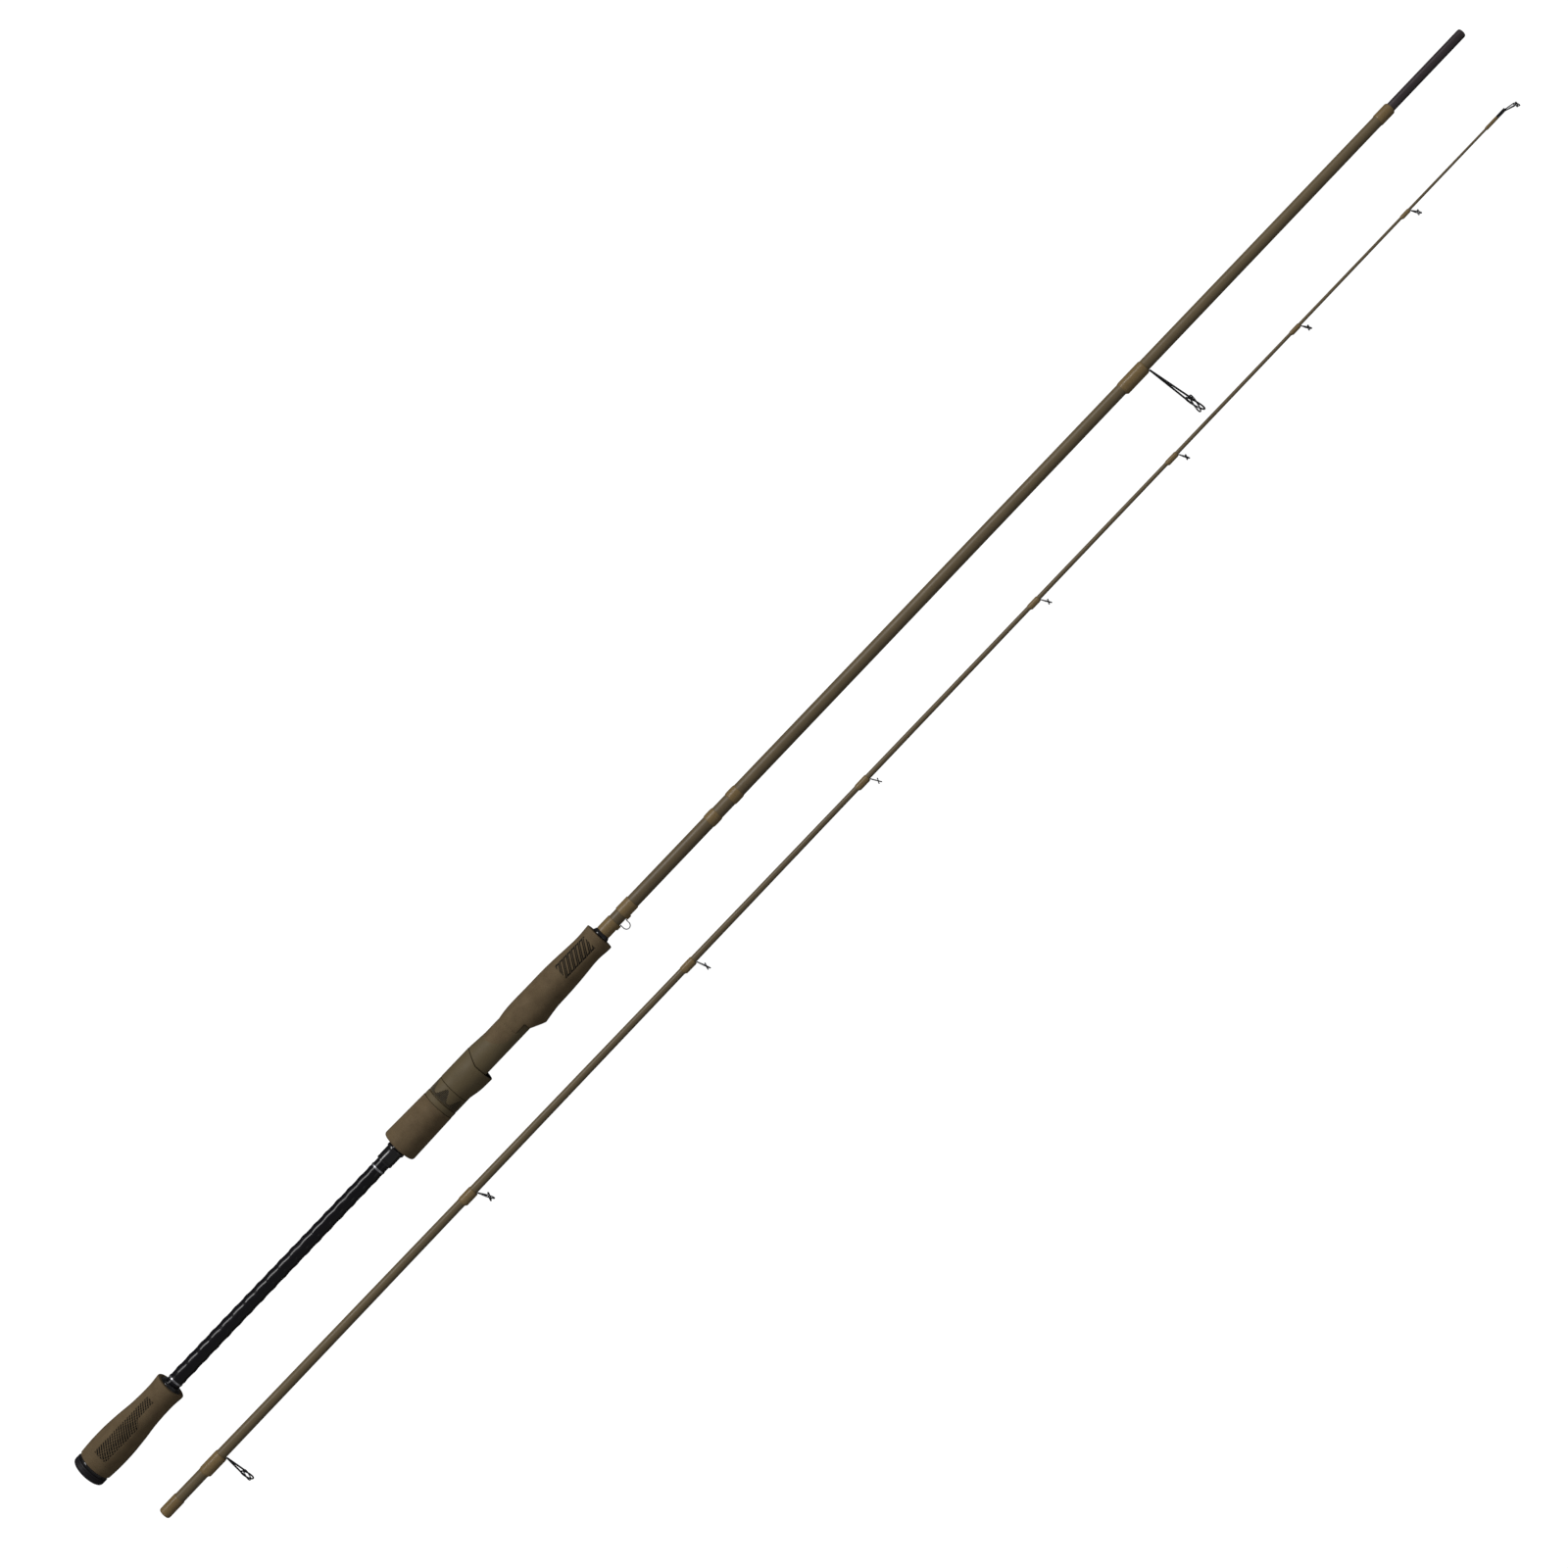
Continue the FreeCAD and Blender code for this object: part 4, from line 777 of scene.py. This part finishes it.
# %% [markdown]
# The foregrip's foam runs back over the seat, swells to a lip that hides the fixed hood, and narrows
# to a waist. A panel on its upper side carries slanted bars, each outlined by a row of small pits.

# %% Foregrip
BAR_PITCH, BAR_SLANT = 3.7, 0.62
FRONT_PANEL_REAR, FRONT_PANEL_FRONT, FRONT_PANEL_LOW, FRONT_PANEL_TOP = 463, 490.7, -3.7, 7.8
foregrip = soft_copy("foregrip", "foregrip_foam", 0.4, rounds=6)


def front_panel(x, y, z):
    if z < 4 or not 461 < x < 491:
        return 0.0
    side = abs(((x - BAR_SLANT * y) / BAR_PITCH) % 1 - 0.5)
    inside = (soft(FRONT_PANEL_TOP - y, 0.2) * soft(y - FRONT_PANEL_LOW, 0.2)
              * soft(x - FRONT_PANEL_REAR, 0.2) * soft(FRONT_PANEL_FRONT - x, 0.2))
    outline = soft(0.11 - abs(side - 0.32), 0.05)
    ends = soft(0.4 - min(abs(7.2 - y), abs(y + 3.1)), 0.15) * soft(0.36 - side, 0.04)
    return inside * max(outline, ends)


engrave(foregrip, 0.4, front_panel)
shade(foregrip, 60)
done(foregrip, "butt_section", "grip_foam", "olive_foam", "foregrip")

low, high = box_mm("foregrip_check")
front_check = ringed("front_check_cone", closed(
    (low.x + 0.02, 5.95), (low.x + 0.15, 6.15), (low.x + 0.5, 6.2), (low.x + 1.2, 6.2), (low.x + 1.5, 6.0),
    (low.x + 1.9, 5.9), (high.x - 0.5, 5.55), (high.x - 0.15, 5.4), (high.x, 5.15),
    bore=blank_radius(low.x) - 0.01), sides=96)
shade(front_check, 30)
done(front_check, "butt_section", "gloss_lacquer", "gloss_black", "foregrip_check")

# %% [markdown]
# The hook keeper is a loop of wire held by a thread wrap on either side. The wraps and the loop take
# their forms from the frame, because the wraps swell over the two ends of the wire.

# %% Hook keeper
for node in ("keeper_wrap_rear", "keeper_wrap_front"):
    wrap = soft_copy(node, node + "_thread", 0.13, rounds=5)
    shade(wrap, 60)
    done(wrap, "butt_section", "brown_thread", "brown_wrap", node)
keeper = soft_copy("hook_keeper", "hook_keeper_wire", 0.06, rounds=3)
shade(keeper, 60)
done(keeper, "keeper", "keeper_steel", "steel_wire", "hook_keeper")

# %% [markdown]
# Two trim wraps mark the blank in front of the keeper, and one more binds its end, where the spigot
# would otherwise split it. The tip section has the same binding round its socket.

# %% Plain wraps
TIP_Y, TIP_Z = -56.5, -8.3
tip_low, tip_high = box_mm("tip_blank")
TIP_MIDDLE = (tip_low.x + tip_high.x) / 2
TIP_RADII = (4.05, 2.05, 0.8)


def tip_radius(x):
    near, middle, far = TIP_RADII
    if x < TIP_MIDDLE:
        return near + (middle - near) * (x - tip_low.x) / (TIP_MIDDLE - tip_low.x)
    return middle + (far - middle) * (x - TIP_MIDDLE) / (tip_high.x - TIP_MIDDLE)


PLAIN_WRAPS = (
    ("trim_wrap_rear", DOMED, "butt_section"), ("trim_wrap_front", DOMED, "butt_section"),
    ("ferrule_wrap_butt", FLAT, "butt_section"), ("ferrule_wrap_tip", FLAT, "tip_section"),
    ("tip_wrap", FLAT, "tip_section"))
for node, crown, body in PLAIN_WRAPS:
    low, high = box_mm(node)
    on_blank = blank_radius if body == "butt_section" else tip_radius
    wrap = sleeve(node + "_thread", node, on_blank(high.x), crown)
    shade(wrap, 40)
    done(wrap, body, "brown_thread", "brown_wrap", node)

# %% [markdown]
# The spigot is a graphite tube, ground to fit the socket and rounded at its end. The part that is
# glued into the blank is a little thinner.

# %% Spigot
low, high = box_mm("spigot")
shown = BLANK_FRONT
GLUED_RADIUS, FREE_RADIUS = 3.15, 3.4
spigot = ringed("spigot_plug", [
    (low.x, 2.25), (low.x, GLUED_RADIUS), (shown - 0.2, GLUED_RADIUS), (shown + 0.05, FREE_RADIUS),
    (shown + 8, FREE_RADIUS), (shown + 30, 3.395),
    (high.x - 2.0, 3.38), (high.x - 0.9, 3.33), (high.x - 0.4, 3.2), (high.x - 0.12, 3.0), (high.x, 2.75),
    (high.x, 2.3), (high.x - 0.2, 2.2), (low.x + 0.2, 2.2), (low.x, 2.25)], sides=64)
shade(spigot, 30)
done(spigot, "butt_section", "spigot_graphite", "dark_graphite", "spigot")

# %% [markdown]
# The tip section's blank tapers fast over its first half and slowly over its second. It starts as a
# cone like the butt's. It is cut across at its middle, and the new ring is scaled to the true radius.

# %% Tip blank
SOCKET_DEPTH, SOCKET_RADIUS, SOCKET_END_RADIUS = 71.0, 3.43, 3.13
MIDDLE_BORE, TIP_BORE = 1.35, 0.35
clear()
bpy.ops.mesh.primitive_cone_add(vertices=64, radius1=TIP_RADII[0] * MM, radius2=TIP_RADII[2] * MM,
                                depth=(tip_high.x - tip_low.x) * MM, end_fill_type="NOTHING",
                                location=(TIP_MIDDLE * MM, TIP_Y * MM, TIP_Z * MM),
                                rotation=(0, math.pi / 2, 0))
tip_blank = bpy.context.object
tip_blank.name = "tip_blank_tube"
bpy.ops.object.transform_apply(location=True, rotation=True, scale=True)
bpy.ops.object.mode_set(mode="EDIT")
bpy.ops.mesh.select_mode(type="EDGE")
bpy.ops.mesh.select_all(action="SELECT")
bpy.ops.mesh.bisect(plane_co=(TIP_MIDDLE * MM, 0, 0), plane_no=(1, 0, 0))
select_where(tip_blank, lambda a, b: abs(a.x - TIP_MIDDLE) < 0.01 and abs(b.x - TIP_MIDDLE) < 0.01)
slim = TIP_RADII[1] / ((TIP_RADII[0] + TIP_RADII[2]) / 2)
bpy.ops.transform.resize(value=(1, slim, slim),
                         center_override=(TIP_MIDDLE * MM, TIP_Y * MM, TIP_Z * MM))
for end, outer, bore in ((tip_low.x, TIP_RADII[0], SOCKET_RADIUS), (tip_high.x, TIP_RADII[2], TIP_BORE)):
    select_where(tip_blank, lambda a, b: abs(a.x - end) < 0.01 and abs(b.x - end) < 0.01)
    bpy.ops.mesh.extrude_edges_move(TRANSFORM_OT_translate={"value": (0, 0, 0)})
    bpy.ops.transform.resize(value=(1, bore / outer, bore / outer),
                             center_override=(end * MM, TIP_Y * MM, TIP_Z * MM))
select_where(tip_blank, lambda a, b: all(
    abs(p.x - tip_low.x) < 0.01 and math.hypot(p.y - TIP_Y, p.z - TIP_Z) < 3.6 for p in (a, b)))
bpy.ops.mesh.extrude_edges_move(TRANSFORM_OT_translate={"value": (SOCKET_DEPTH * MM, 0, 0)})
bpy.ops.mesh.extrude_edges_move(TRANSFORM_OT_translate={"value": (0, 0, 0)})
narrow = SOCKET_END_RADIUS / SOCKET_RADIUS
bpy.ops.transform.resize(value=(1, narrow, narrow),
                         center_override=((tip_low.x + SOCKET_DEPTH) * MM, TIP_Y * MM, TIP_Z * MM))
bpy.ops.mesh.extrude_edges_move(
    TRANSFORM_OT_translate={"value": ((TIP_MIDDLE - tip_low.x - SOCKET_DEPTH) * MM, 0, 0)})
slender = MIDDLE_BORE / SOCKET_END_RADIUS
bpy.ops.transform.resize(value=(1, slender, slender),
                         center_override=(TIP_MIDDLE * MM, TIP_Y * MM, TIP_Z * MM))
select_where(tip_blank, lambda a, b: all(
    (abs(p.x - TIP_MIDDLE) < 0.01 and math.hypot(p.y - TIP_Y, p.z - TIP_Z) < 1.6)
    or (abs(p.x - tip_high.x) < 0.01 and math.hypot(p.y - TIP_Y, p.z - TIP_Z) < 0.6) for p in (a, b)))
bpy.ops.mesh.bridge_edge_loops()
merge_and_face_out()
shade(tip_blank, 30)
done(tip_blank, "tip_section", "olive_blank_paint", "olive_blank", "tip_blank")

# %% [markdown]
# Each guide is a bent and welded wire frame with a hard ring pressed into it. The foot lies under a
# thread wrap that swells over it on the guide's side. The ring leans toward the tip, so a loop of
# line that catches on it slides off.

# %% Guides
GUIDES = {  # bore, wall, wire, lean in degrees, swell of the wrap, thickness of the foot
    1: (6.4, 0.56, 0.62, 13.4, 0.45, 0.9), 2: (3.85, 0.5, 0.55, 13.6, 0.45, 0.8),
    3: (2.95, 0.4, 0.45, 26.0, 0.4, 0.7), 4: (2.4, 0.31, 0.42, 19.0, 0.4, 0.6),
    5: (1.95, 0.25, 0.4, 29.0, 0.4, 0.55), 6: (1.85, 0.29, 0.38, 29.0, 0.35, 0.5),
    7: (1.85, 0.29, 0.38, 25.0, 0.35, 0.5), 8: (1.8, 0.29, 0.38, 30.0, 0.35, 0.45),
    9: (1.8, 0.29, 0.38, 31.0, 0.35, 0.45),
}


def hard_ring(name, node, bore, wall, half, lean):
    """A ring with a rounded section, turned about X and then leaned toward the tip."""
    low, high = box_mm(node)
    middle = (low + high) / 2
    points = 20
    section = [(middle.x + half * math.cos(TAU * k / points),
                bore + wall / 2 + wall / 2 * math.sin(TAU * k / points)) for k in range(points)]
    ring = ringed(name, section + section[:1], (middle.y, middle.z), 72)
    bpy.ops.object.mode_set(mode="EDIT")
    bpy.ops.mesh.select_all(action="SELECT")
    bpy.ops.transform.rotate(value=math.radians(lean), orient_axis="Z", center_override=middle * MM)
    bpy.ops.object.mode_set(mode="OBJECT")
    return ring


def foot_wrap(name, node, on_blank, swell, foot):
    """Thread over a guide's foot. Its centre is off the blank's by half of the foot's thickness."""
    low, high = box_mm(node)
    centre = (0.0, 0.0) if on_blank is blank_radius else (TIP_Y, TIP_Z)
    length, inner = high.x - low.x, on_blank(low.x)
    rounds = [(0, 0.0), (0.15, 0.12), (0.5, 0.3), (swell * 3, 0.93), (swell * 4.5, 1.0), (length / 2, 1.0),
              (length - swell * 3, 1.0), (length - swell * 1.4, 0.9), (length - swell * 0.5, 0.5),
              (length, 0.1)]
    stations = [(low.x + x, inner + 0.08 + (swell + foot / 2 - 0.08) * h, -foot / 2 * h) for x, h in rounds]
    outline = [(low.x, inner - 0.02), *stations, (high.x, inner - 0.12), (low.x, inner - 0.02)]
    return ringed(name, outline, centre, 72)


for number, (bore, wall, wire_radius, lean, swell, foot) in GUIDES.items():
    body, on_blank = ("butt_section", blank_radius) if number == 1 else ("tip_section", tip_radius)
    ring_node, frame_node, wrap_node = (f"guide_{number}_{part}" for part in ("ring", "frame", "wrap"))
    ring = hard_ring(f"{ring_node}_ceramic", ring_node, bore, wall, 0.9 * wire_radius, lean)
    shade(ring, 60)
    done(ring, body, "ring_ceramic", "ceramic", ring_node)
    legs = soft_copy(frame_node, f"{frame_node}_wire", wire_radius / 5.5)
    shade(legs, 70)
    done(legs, body, "guide_black_plating", "black_wire", frame_node)
    bound = foot_wrap(f"{wrap_node}_thread", wrap_node, on_blank, swell, foot)
    shade(bound, 45)
    done(bound, body, "brown_thread", "brown_wrap", wrap_node)

# %% [markdown]
# The last guide is a tube pushed over the blank's end. Its ring stands ahead of the tube on two legs
# and a stay.

# %% Tip top
ring = hard_ring("tip_top_ceramic", "tip_top_ring", 1.5, 0.55, 0.36, 24.0)
shade(ring, 60)
done(ring, "tip_section", "ring_ceramic", "ceramic", "tip_top_ring")
tip_top = soft_copy("tip_top_frame", "tip_top_wire", 0.075)
shade(tip_top, 70)
done(tip_top, "tip_section", "guide_black_plating", "black_wire", "tip_top_frame")

# %% [markdown]
# A few parts are hidden unless the rod is taken apart: the two arbors that centre the seat on the
# blank, the nut's core, and the hard liners of the two pockets for the reel's foot. Their CAD meshes
# are already the shape of the real thing, so they only get their finishes.

# %% Parts that keep their CAD mesh
for node, finish_name in (("seat_arbor_rear", "arbor_filler"), ("seat_arbor_front", "arbor_filler"),
                          ("locking_nut", "seat_moulding"), ("sliding_hood_liner", "pocket_black"),
                          ("fixed_hood_liner", "pocket_black")):
    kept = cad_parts[node]
    kept.data.materials.clear()
    kept.data.materials.append(finishes[finish_name])
    print(node, "keeps its mesh, in", finish_name)

# %% [markdown]
# Last, the frame's box is printed in mm. It may be a little larger, but not much.

# %% Frame's size
print("frame's box, mm:", *[round(v / MM, 1) for corner in cad_box for v in corner])
